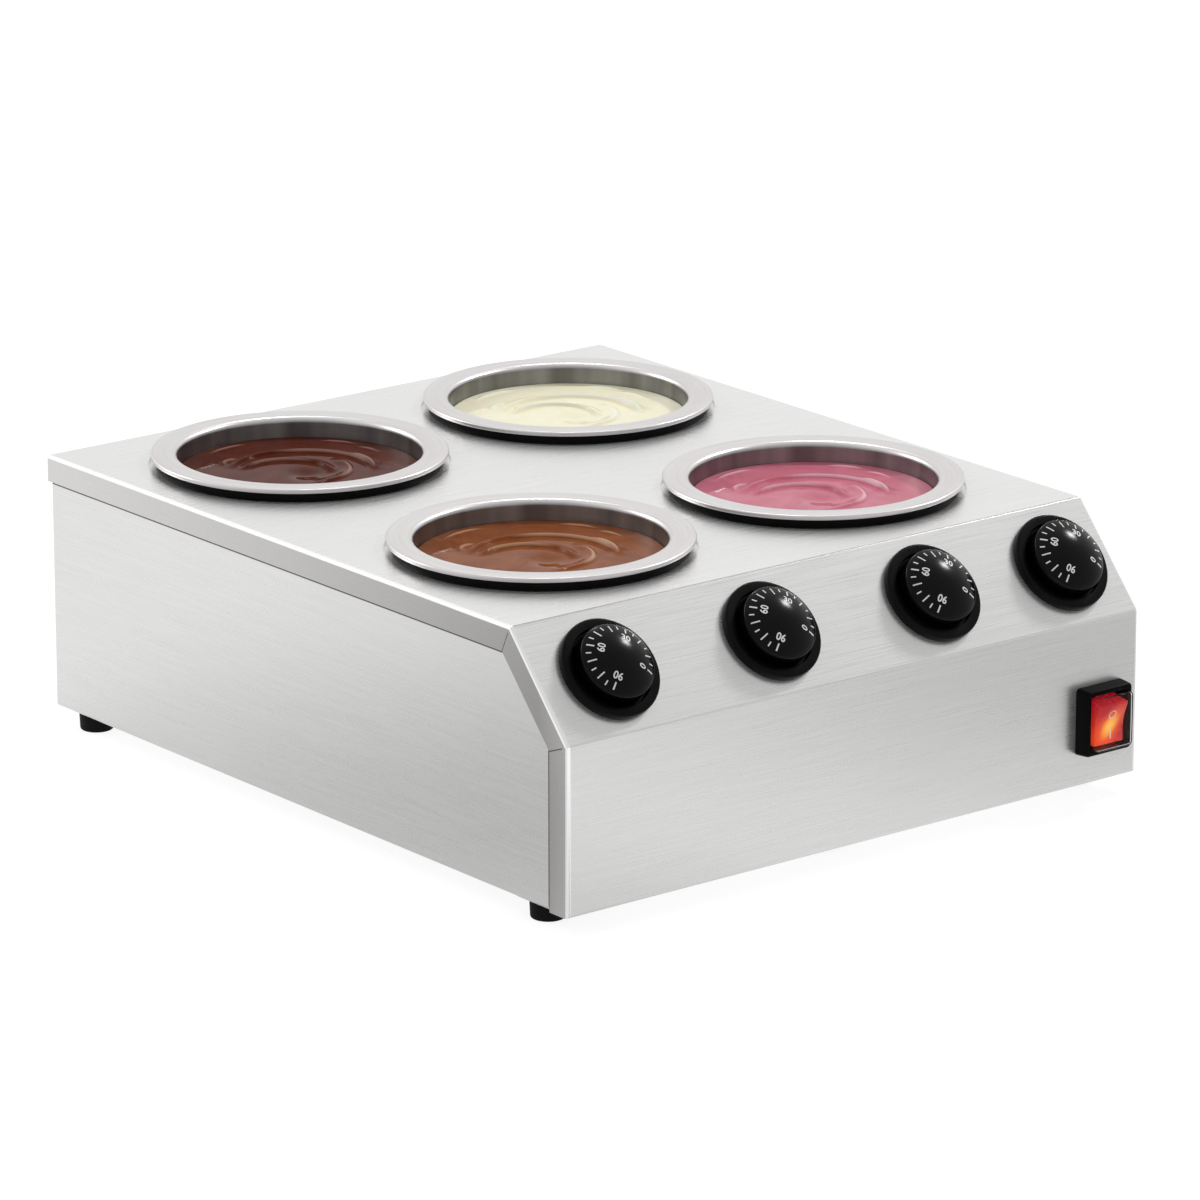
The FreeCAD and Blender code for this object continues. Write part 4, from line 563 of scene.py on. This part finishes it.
def lathe_tree():
    """Turns the outline that a piece holds, radius in X and height in Z, round the Z axis."""
    tree = Tree("lathe")
    steps = tree.input("Steps around", "NodeSocketInt")
    finish = tree.input("Finish", "NodeSocketMaterial")
    size = tree.node("GeometryNodeAttributeDomainSize", component="MESH")
    tree.wire(tree.entry.outputs[0], size.inputs[0])
    count = size.outputs["Point Count"]
    sheet = tree.node("GeometryNodeMeshGrid")
    tree.wire(tree.plus(steps, 1), sheet.inputs["Vertices X"])
    tree.wire(count, sheet.inputs["Vertices Y"])
    index = tree.node("GeometryNodeInputIndex").outputs[0]
    column = tree.sum("FLOOR", tree.sum("DIVIDE", tree.plus(index, 0.5), count))
    row = tree.less(index, tree.times(column, count))
    outline = tree.node("GeometryNodeSampleIndex", data_type="FLOAT_VECTOR", domain="POINT")
    tree.wire(tree.entry.outputs[0], outline.inputs["Geometry"])
    tree.wire(tree.node("GeometryNodeInputPosition").outputs[0], outline.inputs["Value"])
    tree.wire(row, outline.inputs["Index"])
    angle = tree.times(tree.sum("DIVIDE", column, steps), math.tau)
    radius, _, height = tree.apart(outline.outputs[0])
    place = tree.vector(tree.times(radius, tree.sum("COSINE", angle)),
                        tree.times(radius, tree.sum("SINE", angle)), height)
    spin = tree.node("GeometryNodeSetPosition")
    tree.wire(sheet.outputs["Mesh"], spin.inputs["Geometry"])
    tree.wire(place, spin.inputs["Position"])
    merge = tree.node("GeometryNodeMergeByDistance")
    tree.wire(spin.outputs[0], merge.inputs["Geometry"])
    tree.wire(0.001 * MM, merge.inputs["Distance"])
    tree.close(merge.outputs[0], finish)
    return tree


def turned(tree, name, outline, place, finish, steps=160, sharp=32):
    """Piece turned on the lathe tree from an outline in metres, and set in its place."""
    mesh = bpy.data.meshes.new(name)
    points = [(point[0], 0, point[1]) for point in outline]
    mesh.from_pydata(points, [(index, index + 1) for index in range(len(points) - 1)], [])
    piece = new_piece(name, mesh)
    run_tree(piece, tree, {"Steps around": steps, "Finish": FINISHES[finish]})
    piece.data.transform(place)
    return settle(piece, finish, sharp)


def millimetres(corners):
    return [(x * MM, y * MM, radius * MM) for x, y, radius in corners]


def loop_of(corners, steps):
    """Closed outline that ends where it begins, from corners in mm."""
    outline = eased(millimetres(corners), closed=True, steps=steps)
    return outline + outline[:1]


# Pots, rings and chocolate

# Outlines of (radius, height, rounding) in mm: pot, ring under its rim, wall and underside of the chocolate
POT_OUTLINE = ((0, -103.8, 0), (65, -103.8, 8.8), (69, 0, 3.5), (83.95, 0, 0.9), (83.95, -2.6, 0.5),
               (82.6, -2.6, 0.4), (82.6, -1.25, 0.25), (70.2, -1.25, 2.4), (66.2, -105, 10), (0, -105, 0))
RING_OUTLINE = ((75.5, 0, 0.3), (80.5, 0, 0.5), (80.5, 6.88, 0.7), (75.5, 6.88, 0.5))
FILL_OUTLINE = ((68.43, -0.25, 0), (64.9, -91.8, 10), (0, -91.8, 0))


def make_pots(lathe):
    wall = eased(millimetres(POT_OUTLINE), steps=9)
    ring = loop_of(RING_OUTLINE, steps=4)
    for place, (x, y) in POT_PLACES.items():
        at = Matrix.Translation((x, y, RIM_LEVEL))
        pot = turned(lathe, "spun_pot_" + place, wall, at, "pot_" + place, steps=192)
        finished(pot, place + "_pot", "pot_steel", "pot_" + place)
        at = Matrix.Translation((x, y, WELL_LEVEL))
        seat = turned(lathe, "seat_ring_" + place + "_moulded", ring, at, "seat_ring_black")
        finished(seat, "case", "seat_ring_black", "seat_ring_" + place)


def smooth_step(value, low, high):
    share = min(max((value - low) / (high - low), 0), 1)
    return share * share * (3 - 2 * share)


def ridge(point, middle, radius, first, last, height, inner, outer, fade):
    """Height of one curved fold: steep towards its middle side by `inner`, easy outside by `outer`."""
    arm = point - Vector(middle)
    distance = arm.length - radius
    angle = math.degrees(math.atan2(arm.y, arm.x))
    while angle < first - 180:
        angle += 360
    while angle > last + 180:
        angle -= 360
    along = smooth_step(angle, first - fade, first + fade)
    along *= 1 - smooth_step(angle, last - fade, last + fade)
    width = inner if distance < 0 else outer
    return height * along * math.exp(-(distance / width) ** 2)


# Folds of the surface in mm and degrees: middle and radius of the arc, its first and last angle, height,
# inner and outer widths, and the angle over which it fades. The second table lays a painted highlight along
# the crests of the folds; in it a share from 0 to 1 stands for height.
FOLDS = (
    ((-7.5, -5), 24, 8, 160, 2.1, 1.2, 3.6, 14),
    ((1.7, -3), 40, 14, 162, 2.2, 1.4, 4.4, 14),
    ((1.7, -3), 40.5, 12, 46, 1.1, 0.9, 2.4, 8),
    ((-2, 0), 30, -62, 40, 1.3, 4.6, 1.6, 14),
    ((-36, 12), 8, 100, 190, 1.3, 1.0, 2.0, 25),
    ((0, 0), 62.5, 124, 146, 1.0, 1.4, 1.4, 7),
    ((0, 0), 62.0, 62, 80, 1.0, 1.4, 1.4, 7),
    ((0, 0), 58.0, 42, 56, 0.9, 1.4, 1.4, 7),
)
HIGHLIGHT_CRESTS = (
    ((-7.5, -5), 23.4, 60, 150, 0.8, 0.7, 0.9, 25),
    ((1.7, -3), 39.3, 20, 110, 0.9, 0.7, 1.0, 20),
    ((1.7, -3), 40.6, 12, 46, 0.9, 0.7, 1.2, 8),
    ((-2, 0), 30.6, -30, 40, 0.9, 1.3, 1.0, 18),
    ((-36, 12), 7.4, 100, 190, 0.8, 0.7, 0.8, 25),
    ((0, 0), 62.0, 124, 146, 0.8, 0.8, 0.8, 7),
    ((0, 0), 61.5, 62, 80, 0.8, 0.8, 0.8, 7),
    ((0, 0), 57.5, 42, 56, 0.8, 0.8, 0.8, 7),
)


def swirl(point):
    """Height of the stirred surface at a point, both in mm, with a dip in it and a lip up the wall."""
    height = sum(ridge(point, *fold) for fold in FOLDS)
    dip = math.exp(-((point.x - 4) / 8) ** 2 - ((point.y + 8) / 10) ** 2)
    height -= 1.5 * dip * smooth_step(point.x, -7.5, -5.8)
    return height + 0.5 * math.exp((point.length - 68.4) / 1.6)


def fold_share(point):
    """How strongly the painted highlight along the crest of a fold shows at a point, from 0 to 1."""
    return min(sum(ridge(point, *crest) for crest in HIGHLIGHT_CRESTS), 1)


def make_fills(lathe):
    """Chocolate in the pots, stirred in axes that run to the viewer's right and away from the viewer."""
    right = Vector((0.7826, -0.6225))
    away = Vector((0.6225, 0.7826))
    surface = [Vector((step * 0.5 * MM, 0)) for step in range(137)]
    outline = surface + eased(millimetres(FILL_OUTLINE))
    for place, fill in CHOCOLATES.items():
        x, y = POT_PLACES[place]
        piece = turned(lathe, fill + "_melted", outline, Matrix(), fill, steps=256, sharp=60)
        # Strength of the painted highlight along the fold crests, kept in the fold attribute
        crest_highlights = piece.data.attributes.new("fold", "FLOAT", "POINT")
        for vertex in piece.data.vertices:
            flat = Vector((vertex.co.x, vertex.co.y))
            if vertex.co.z > -0.1 * MM:
                seen = Vector((flat.dot(right), flat.dot(away))) / MM
                vertex.co.z += swirl(seen) * MM
                crest_highlights.data[vertex.index].value = fold_share(seen)
        piece.data.transform(Matrix.Translation((x, y, RIM_LEVEL - FILL_DROP)))
        finished(piece, place + "_pot", fill, fill)


# Dials

def panel_place(across):
    return Matrix.Translation(SLOPE_MIDDLE + Vector((across, 0, 0))) @ Matrix.Rotation(SLOPE_TURN, 4, "X")


def dome_height(radius):
    return DOME_TOP - DOME_CURVE + math.sqrt(DOME_CURVE ** 2 - radius ** 2)


def knob_outline():
    """Closed outline of the knob: bore, underside, slightly drawn-in side, eased shoulder and dome."""
    dome_radius, steps = 21.6 * MM, 30
    dome = [Vector((dome_radius * (1 - step / steps), 0)) for step in range(steps + 1)]
    dome = [Vector((point.x, dome_height(point.x))) for point in dome]
    below = eased(millimetres([(0, 13, 0), (3.05, 13, 0), (3.05, 3.6, 0.2), (22, 3.6, 0.5), (21.6, 11.5, 0)]))
    shoulder = dome[0]
    next_out = dome[2]
    corner = [(below[-2].x, below[-2].y, 0), (shoulder.x, shoulder.y, 1.2 * MM), (next_out.x, next_out.y, 0)]
    return below[:-1] + eased(corner, steps=9)[1:-1] + dome[2:]


def tick_tree():
    """Scale ticks of a dial: long and short in turn, wider at the numbered values, laid on the dome."""
    tree = Tree("dial_ticks")
    count = tree.input("Ticks", "NodeSocketInt")
    first = tree.input("First angle")
    step = tree.input("Angle between ticks")
    outer = tree.input("Outer radius")
    long_tick = tree.input("Long tick")
    short_tick = tree.input("Short tick")
    width = tree.input("Width")
    curve = tree.input("Dome radius")
    top = tree.input("Dome top")
    lift = tree.input("Lift")
    finish = tree.input("Finish", "NodeSocketMaterial")
    row = tree.node("GeometryNodeMeshLine")
    tree.wire(count, row.inputs["Count"])
    row.inputs["Offset"].default_value = (0, 0, 0)
    index = tree.node("GeometryNodeInputIndex").outputs[0]
    angle = tree.plus(first, tree.times(index, step))
    odd = tree.sum("MODULO", index, 2)
    numbered = tree.sum("LESS_THAN", tree.sum("MODULO", index, 6), 0.5)
    length = tree.plus(tree.times(odd, short_tick), tree.times(tree.less(1.0, odd), long_tick))
    length = tree.less(length, tree.times(numbered, 0.8 * MM))
    wide = tree.times(width, tree.plus(1.0, tree.times(numbered, 0.15)))
    mark = tree.node("GeometryNodeMeshGrid")
    for name, value in (("Size X", 1.0), ("Size Y", 1.0), ("Vertices X", 9), ("Vertices Y", 3)):
        mark.inputs[name].default_value = value
    out = tree.less(outer, tree.times(length, 0.5))
    spread = tree.node("GeometryNodeSetPosition")
    tree.wire(row.outputs[0], spread.inputs["Geometry"])
    tree.wire(tree.vector(tree.times(out, tree.sum("COSINE", angle)),
                          tree.times(out, tree.sum("SINE", angle))), spread.inputs["Position"])
    stamp = tree.node("GeometryNodeInstanceOnPoints")
    tree.wire(spread.outputs[0], stamp.inputs["Points"])
    tree.wire(mark.outputs[0], stamp.inputs["Instance"])
    tree.wire(tree.vector(0.0, 0.0, angle), stamp.inputs["Rotation"])
    tree.wire(tree.vector(length, wide, 1.0), stamp.inputs["Scale"])
    flat = tree.node("GeometryNodeRealizeInstances")
    tree.wire(stamp.outputs[0], flat.inputs[0])
    x, y, _ = tree.apart(tree.node("GeometryNodeInputPosition").outputs[0])
    square = tree.plus(tree.times(x, x), tree.times(y, y))
    rise = tree.sum("SQRT", tree.less(tree.times(curve, curve), square))
    height = tree.plus(tree.less(rise, curve), tree.plus(top, lift))
    drape = tree.node("GeometryNodeSetPosition")
    tree.wire(flat.outputs[0], drape.inputs["Geometry"])
    tree.wire(tree.vector(x, y, height), drape.inputs["Position"])
    tree.close(drape.outputs[0], finish)
    return tree


# Height of a digit as a share of its letter size
DIGIT_SHARE = 0.68


def dial_number(text, angle, tall, reach):
    """Flat number whose top points away from the knob's middle, laid on the dome."""
    curve = bpy.data.curves.new("number", "FONT")
    curve.body = text
    curve.align_x = "CENTER"
    curve.align_y = "CENTER"
    curve.size = tall / DIGIT_SHARE
    curve.space_character = 1.02
    curve.offset = 0.03 * tall
    words = bpy.data.objects.new("number", curve)
    scene.collection.objects.link(words)
    mesh = bpy.data.meshes.new_from_object(words.evaluated_get(bpy.context.evaluated_depsgraph_get()))
    bpy.data.objects.remove(words)
    mesh.transform(Matrix.Rotation(angle, 4, "Z") @ Matrix.Translation((reach, 0, 0))
                   @ Matrix.Rotation(-math.pi / 2, 4, "Z"))
    for vertex in mesh.vertices:
        vertex.co.z = dome_height(math.hypot(vertex.co.x, vertex.co.y)) + 0.06 * MM
    return mesh


def joined(name, meshes):
    shape = bmesh.new()
    for mesh in meshes:
        shape.from_mesh(mesh)
    return kept(shape, name)


BEZEL_OUTLINE = ((5.2, 0, 0), (29, 0, 0.3), (29, 4.6, 1.2), (23.4, 4.6, 0.5), (23.4, 1.4, 0.3), (5.2, 1.4, 0))


def make_dials(lathe):
    ticks = tick_tree()
    bezel = loop_of(BEZEL_OUTLINE, steps=6)
    print_finish = FINISHES["white_print"]
    for place, across in DIAL_PLACES.items():
        at = panel_place(across)
        body = place + "_dial"
        knob = turned(lathe, "domed_knob_" + place, knob_outline(), at, "knob_black", steps=128)
        finished(knob, body, "knob_black", "knob_" + place)
        ring = turned(lathe, "bezel_ring_" + place, bezel, at, "bezel_black", steps=128)
        finished(ring, "case", "bezel_black", "knob_bezel_" + place)
        scale = new_piece("dial_ticks_" + place, bpy.data.meshes.new("ticks"))
        run_tree(scale, ticks, {
            "Ticks": 19, "First angle": math.radians(DIAL_ANGLE - DIAL_TURN),
            "Angle between ticks": math.radians(5 * UNIT_ANGLE), "Outer radius": 19.7 * MM,
            "Long tick": 4.6 * MM, "Short tick": 2.5 * MM, "Width": 0.75 * MM, "Dome radius": DOME_CURVE,
            "Dome top": DOME_TOP, "Lift": 0.05 * MM, "Finish": print_finish})
        scale.data.transform(at)
        finished(scale, body, "white_plastic")
        numbers = []
        for value in (0, 30, 60, 90):
            angle = math.radians(DIAL_ANGLE + UNIT_ANGLE * (value - DIAL_VALUE))
            numbers.append(dial_number(str(value), angle, 3.75 * MM, 12.2 * MM))
        digits = joined("dial_numbers_" + place, numbers)
        digits.data.transform(at)
        digits.data.materials.append(print_finish)
        finished(digits, body, "white_plastic")
        make_index(place, at)


def make_index(place, at):
    """Small raised pointer moulded on the bezel, over the value in use."""
    angle = math.radians(DIAL_ANGLE)
    low = [(-0.55, 24.4), (0.55, 24.4), (0.9, 28.0), (-0.9, 28.0)]
    high = [(-0.35, 24.7), (0.35, 24.7), (0.6, 27.7), (-0.6, 27.7)]
    loops = [[Vector((x, y, z)) * MM for x, y in outline] for z, outline in ((4.5, low), (4.75, high))]
    piece = skinned("bezel_index_" + place, loops)
    piece.data.transform(at @ Matrix.Rotation(angle - math.pi / 2, 4, "Z"))
    finished(settle(piece, "bezel_black"), "case", "bezel_black")


# Switch

def rounded_rectangle(width, tall, radius, steps=6):
    half, rise = width / 2, tall / 2
    corners = [(-half, -rise, radius), (half, -rise, radius), (half, rise, radius), (-half, rise, radius)]
    return eased(millimetres(corners), closed=True, steps=steps)


def front_loop(width, tall, radius, reach):
    """Rounded rectangle on the apron, `reach` mm out of it."""
    points = rounded_rectangle(width, tall, radius)
    return [SWITCH_MIDDLE + Vector((point.x, -reach * MM, point.y)) for point in points]


def rolled_edge(width, tall, corner, reach, edge, steps=6):
    """Loops that take a rounded rectangle over a rounded edge to its front face."""
    loops = []
    for step in range(steps + 1):
        angle = math.pi / 2 * step / steps
        inward = edge * (1 - math.cos(angle))
        out = reach - edge * (1 - math.sin(angle))
        loops.append(front_loop(width - 2 * inward, tall - 2 * inward, max(corner - inward, 0.3), out))
    return loops


def make_switch():
    """Frame with drafted sides and a mouth, the hollow clear cover in it, and the rocker."""
    corner, wall, cover_foot = 2.5, 0.8, 2.2
    width, tall = COVER_WIDTH + 7.4, COVER_TALL + 7.4
    draft = 2 * FRAME_REACH * math.tan(math.radians(3))
    outer = [front_loop(width, tall, corner, 0),
             front_loop(width - draft / 2, tall - draft / 2, corner, FRAME_REACH / 2)]
    outer += rolled_edge(width - draft, tall - draft, corner, FRAME_REACH, 1.6)
    mouth = ((1.4, 2.8, 0), (0.6, 2.6, 0.2), (0.4, 2.5, 0.6), (0.4, 2.5, FRAME_REACH))
    inner = [front_loop(COVER_WIDTH + grow, COVER_TALL + grow, radius, FRAME_REACH - back)
             for grow, radius, back in mouth]
    frame_piece = settle(skinned("switch_surround", outer + inner, ring=True), "black_plastic", 40)
    finished(frame_piece, "case", "black_plastic", "switch_frame")

    shell = [front_loop(COVER_WIDTH, COVER_TALL, corner, cover_foot)]
    shell += rolled_edge(COVER_WIDTH, COVER_TALL, corner, COVER_REACH, 1.4)
    room_width, room_tall, room_corner = COVER_WIDTH - 2 * wall, COVER_TALL - 2 * wall, corner - wall
    room = [front_loop(room_width, room_tall, room_corner, cover_foot)]
    room += rolled_edge(room_width, room_tall, room_corner, COVER_REACH - wall, 0.7)
    cover = bmesh.new()
    rims = []
    for loops in (shell, room):
        rows = skin_rows(cover, loops)
        cover.faces.new(rows[-1])
        rims.append(rows[0])
    bridge(cover, *rims)
    cap = settle(kept(cover, "splash_cap"), "clear_plastic", 40)
    finished(cap, "case", "clear_plastic", "splash_cover")
    make_rocker()


def rocker_side():
    """Rocker seen from its end, out of the apron in X and up in Y, in mm and untilted."""
    end, half, waist = ROCKER_END, ROCKER_HALF_LENGTH, ROCKER_HALF_LENGTH * 0.7
    corners = [(ROCKER_MIDDLE, 0, 30), (end, half, 0.8), (-2, half, 0.6), (-5, waist, 0.5), (-5, -waist, 0.5),
               (-2, -half, 0.6), (end, -half, 0.8)]
    return eased(corners, closed=True, steps=8)


def rocker_point(across, out, up):
    """A point of the rocker in metres, tilted to ON about an axis just behind the apron's face."""
    tilt = math.radians(9)
    axis = 1
    y = -out * math.cos(tilt) - up * math.sin(tilt)
    z = -out * math.sin(tilt) + up * math.cos(tilt)
    return SWITCH_MIDDLE + Vector((across, axis + y, z)) * MM


def shrunk(outline, inset):
    """The same outline moved inwards by an even distance."""
    made = []
    count = len(outline)
    middle = sum((Vector(point) for point in outline), Vector((0, 0))) / count
    for index, point in enumerate(outline):
        before = outline[index - 1]
        after = outline[(index + 1) % count]
        run = (after - before).normalized()
        normal = Vector((-run.y, run.x))
        if normal.dot(middle - point) < 0:
            normal = -normal
        made.append(point + normal * inset)
    return made


def face_out(up):
    """How far the rocker's hollowed face stands out at a height, both in mm."""
    side = [point for point in rocker_side() if point.x > 6]
    side.sort(key=lambda point: point.y)
    for low, high in zip(side, side[1:]):
        if low.y <= up <= high.y and high.y > low.y:
            return low.x + (high.x - low.x) * (up - low.y) / (high.y - low.y)
    return ROCKER_MIDDLE


def laid_mark(name, loops, closed, lift=0.06):
    """Printed mark between two lines of (across, up) points in mm, laid on the rocker's face."""
    shape = bmesh.new()
    rows = [[shape.verts.new(rocker_point(x, face_out(y) + lift, y)) for x, y in loop] for loop in loops]
    bridge(shape, *rows, closed)
    piece = kept(shape, name)
    piece.data.materials.append(FINISHES["white_print"])
    return finished(piece, "rocker", "white_plastic")


def make_rocker():
    """Rocker with its ends rolled over a small edge, and the marks on its two halves."""
    side = rocker_side()
    loops = []
    edge, steps = 0.8, 6
    straight = ROCKER_HALF_WIDTH - edge
    for step in range(2 * steps + 1):
        angle = math.pi / 2 * (1 - step / steps) if step <= steps else -math.pi / 2 * (step - steps) / steps
        inset = edge * (1 - math.cos(angle))
        across = (-straight if step <= steps else straight) - edge * math.sin(angle)
        loops.append([rocker_point(across, point.x, point.y) for point in shrunk(side, inset)])
    rocker = settle(skinned("lit_rocker", loops), "red_lens", 40)
    finished(rocker, "rocker", "red_lens", "switch_rocker")
    circle = [(math.cos(math.tau * step / 40), math.sin(math.tau * step / 40)) for step in range(40)]
    laid_mark("mark_off", [[(1 + x * size, 5.2 + y * size) for x, y in circle] for size in (2.05, 2.6)], True)
    laid_mark("mark_on", [[(x, level * 0.62 - 9.0) for level in range(9)] for x in (0.6, 1.4)], False)


# Cable gland

def rib_tree():
    """Grip ribs round the gland's cap."""
    tree = Tree("gland_ribs")
    count = tree.input("Ribs", "NodeSocketInt")
    radius = tree.input("Cap radius")
    rib = tree.input("Rib thickness")
    length = tree.input("Rib length")
    finish = tree.input("Finish", "NodeSocketMaterial")
    circle = tree.node("GeometryNodeMeshCircle")
    tree.wire(count, circle.inputs["Vertices"])
    tree.wire(radius, circle.inputs["Radius"])
    bar = tree.node("GeometryNodeMeshCylinder")
    for name, value in (("Vertices", 8), ("Side Segments", 1)):
        bar.inputs[name].default_value = value
    tree.wire(rib, bar.inputs["Radius"])
    tree.wire(length, bar.inputs["Depth"])
    stamp = tree.node("GeometryNodeInstanceOnPoints")
    tree.wire(circle.outputs[0], stamp.inputs["Points"])
    tree.wire(bar.outputs[0], stamp.inputs["Instance"])
    tree.close(stamp.outputs[0], finish)
    return tree


def make_gland_ribs():
    ribs = new_piece("gland_cap_ribs", bpy.data.meshes.new("ribs"))
    run_tree(ribs, rib_tree(), {"Ribs": 24, "Cap radius": 8.55 * MM, "Rib thickness": 0.45 * MM,
                                "Rib length": 7.2 * MM, "Finish": FINISHES["black_plastic"]})
    ribs.data.transform(Matrix.Translation(GLAND_MIDDLE) @ Matrix.Rotation(-math.pi / 2, 4, "X"))
    finished(settle(ribs, "black_plastic"), "case", "black_plastic")


# Sheet metal and hidden parts

def finish_nodes():
    """Finishes for the CAD nodes that show as they are, with their triangles merged for even shading."""
    slots = {entry["node"]: entry["material_slot"] for entry in frame["record"]["subparts"]}
    for name, node in frame["nodes"].items():
        slot = slots.get(name)
        if slot not in FINISHES:
            continue
        for index in range(max(len(node.material_slots), 1)):
            if not node.material_slots:
                node.data.materials.append(FINISHES[slot])
            else:
                node.material_slots[index].material = FINISHES[slot]
        node.data.shade_smooth()
        weld = node.modifiers.new("merge", "WELD")
        weld.merge_threshold = 0.005 * MM
        crease = node.modifiers.new("creases", "EDGE_SPLIT")
        crease.split_angle = math.radians(30)
        even = node.modifiers.new("even", "WEIGHTED_NORMAL")
        even.keep_sharp = True


# Floor, world and lamps

def bare_nodes(owner):
    """Empty node tree of a material or world."""
    owner.use_nodes = True
    owner.node_tree.nodes.clear()
    return Nodes(owner.node_tree)


def make_floor():
    """Plain pale floor that reads white and keeps a faint contact shadow. Steel mirrors it dimmer to the left
    of the casing and to the right of its front."""
    half = 40
    corners = [(-half, -half, 0), (half, -half, 0), (half, half, 0), (-half, half, 0)]
    mesh = bpy.data.meshes.new("floor")
    mesh.from_pydata(corners, [], [(0, 1, 2, 3)])
    floor = new_piece("floor", mesh)
    material = bpy.data.materials.new("pale_floor")
    nodes = bare_nodes(material)
    kinds, bounced, seen = nodes.rays()
    paint = nodes.node("ShaderNodeBsdfDiffuse")
    nodes.feed(paint.inputs["Color"], nodes.mixed(seen, grey(0.8), grey(0.26)))
    share = bounced
    for spot in ((-0.40, -0.08, 0), (0.40, -0.50, 0)):
        away = nodes.vector_math("DISTANCE", nodes.coordinates(), spot)
        share = nodes.times(share, nodes.spread(away, 0.02, 0.50, 0.44, 1.0, smooth=True))
    glow = nodes.node("ShaderNodeEmission")
    nodes.feed(glow.inputs["Color"], grey(0.86))
    nodes.feed(glow.inputs["Strength"], nodes.sum("MAXIMUM", kinds["Is Camera Ray"], share))
    both = nodes.node("ShaderNodeAddShader")
    nodes.feed(both.inputs[0], paint.outputs[0])
    nodes.feed(both.inputs[1], glow.outputs[0])
    nodes.feed(nodes.node("ShaderNodeOutputMaterial").inputs["Surface"], both.outputs[0])
    mesh.materials.append(material)


def make_world():
    """White surroundings: plain light on the pieces, and for mirrored rays dimmer towards the front."""
    world = bpy.data.worlds.new("studio")
    scene.world = world
    nodes = bare_nodes(world)
    kinds, _, seen = nodes.rays()
    towards_back = nodes.apart(nodes.coordinates("Generated"))[1]
    loss = nodes.spread(towards_back, -0.45, 0.35, 0.30, 0.0, smooth=True)
    share = nodes.less(1, nodes.times(kinds["Is Glossy Ray"], loss))
    sky = nodes.node("ShaderNodeBackground")
    nodes.feed(sky.inputs["Color"], grey(1))
    nodes.feed(sky.inputs["Strength"], nodes.times(nodes.spread(seen, 0, 1, 0.55, 1.0), share))
    nodes.feed(nodes.node("ShaderNodeOutputWorld").inputs["Surface"], sky.outputs[0])


def make_lamp(name, spot, aim, width, tall, power):
    data = bpy.data.lights.new(name, "AREA")
    data.shape = "RECTANGLE"
    data.size = width
    data.size_y = tall
    data.energy = power
    lamp = bpy.data.objects.new(name, data)
    scene.collection.objects.link(lamp)
    direction = Vector(aim) - Vector(spot)
    lamp.matrix_world = Matrix.Translation(spot) @ direction.to_track_quat("-Z", "Y").to_matrix().to_4x4()
    lamp.visible_camera = False


def make_lamps():
    make_lamp("key_right", (2.28, -0.12, 2.16), (0, -0.1, 0.13), 0.40, 0.40, 26)
    make_lamp("softbox_back_left", (-1.0, 2.1, 1.35), (0, 0, 0.15), 1.3, 0.8, 16)
    make_lamp("strip_over_pots", (0.86, 1.08, 2.05), (0, 0.03, 0.15), 0.40, 0.11, 6.5)


place_camera()
make_finishes()
lathe = lathe_tree()
make_pots(lathe)
make_fills(lathe)
make_dials(lathe)
make_switch()
make_gland_ribs()
finish_nodes()
make_floor()
make_world()
make_lamps()
scene.view_settings.view_transform = "Standard"
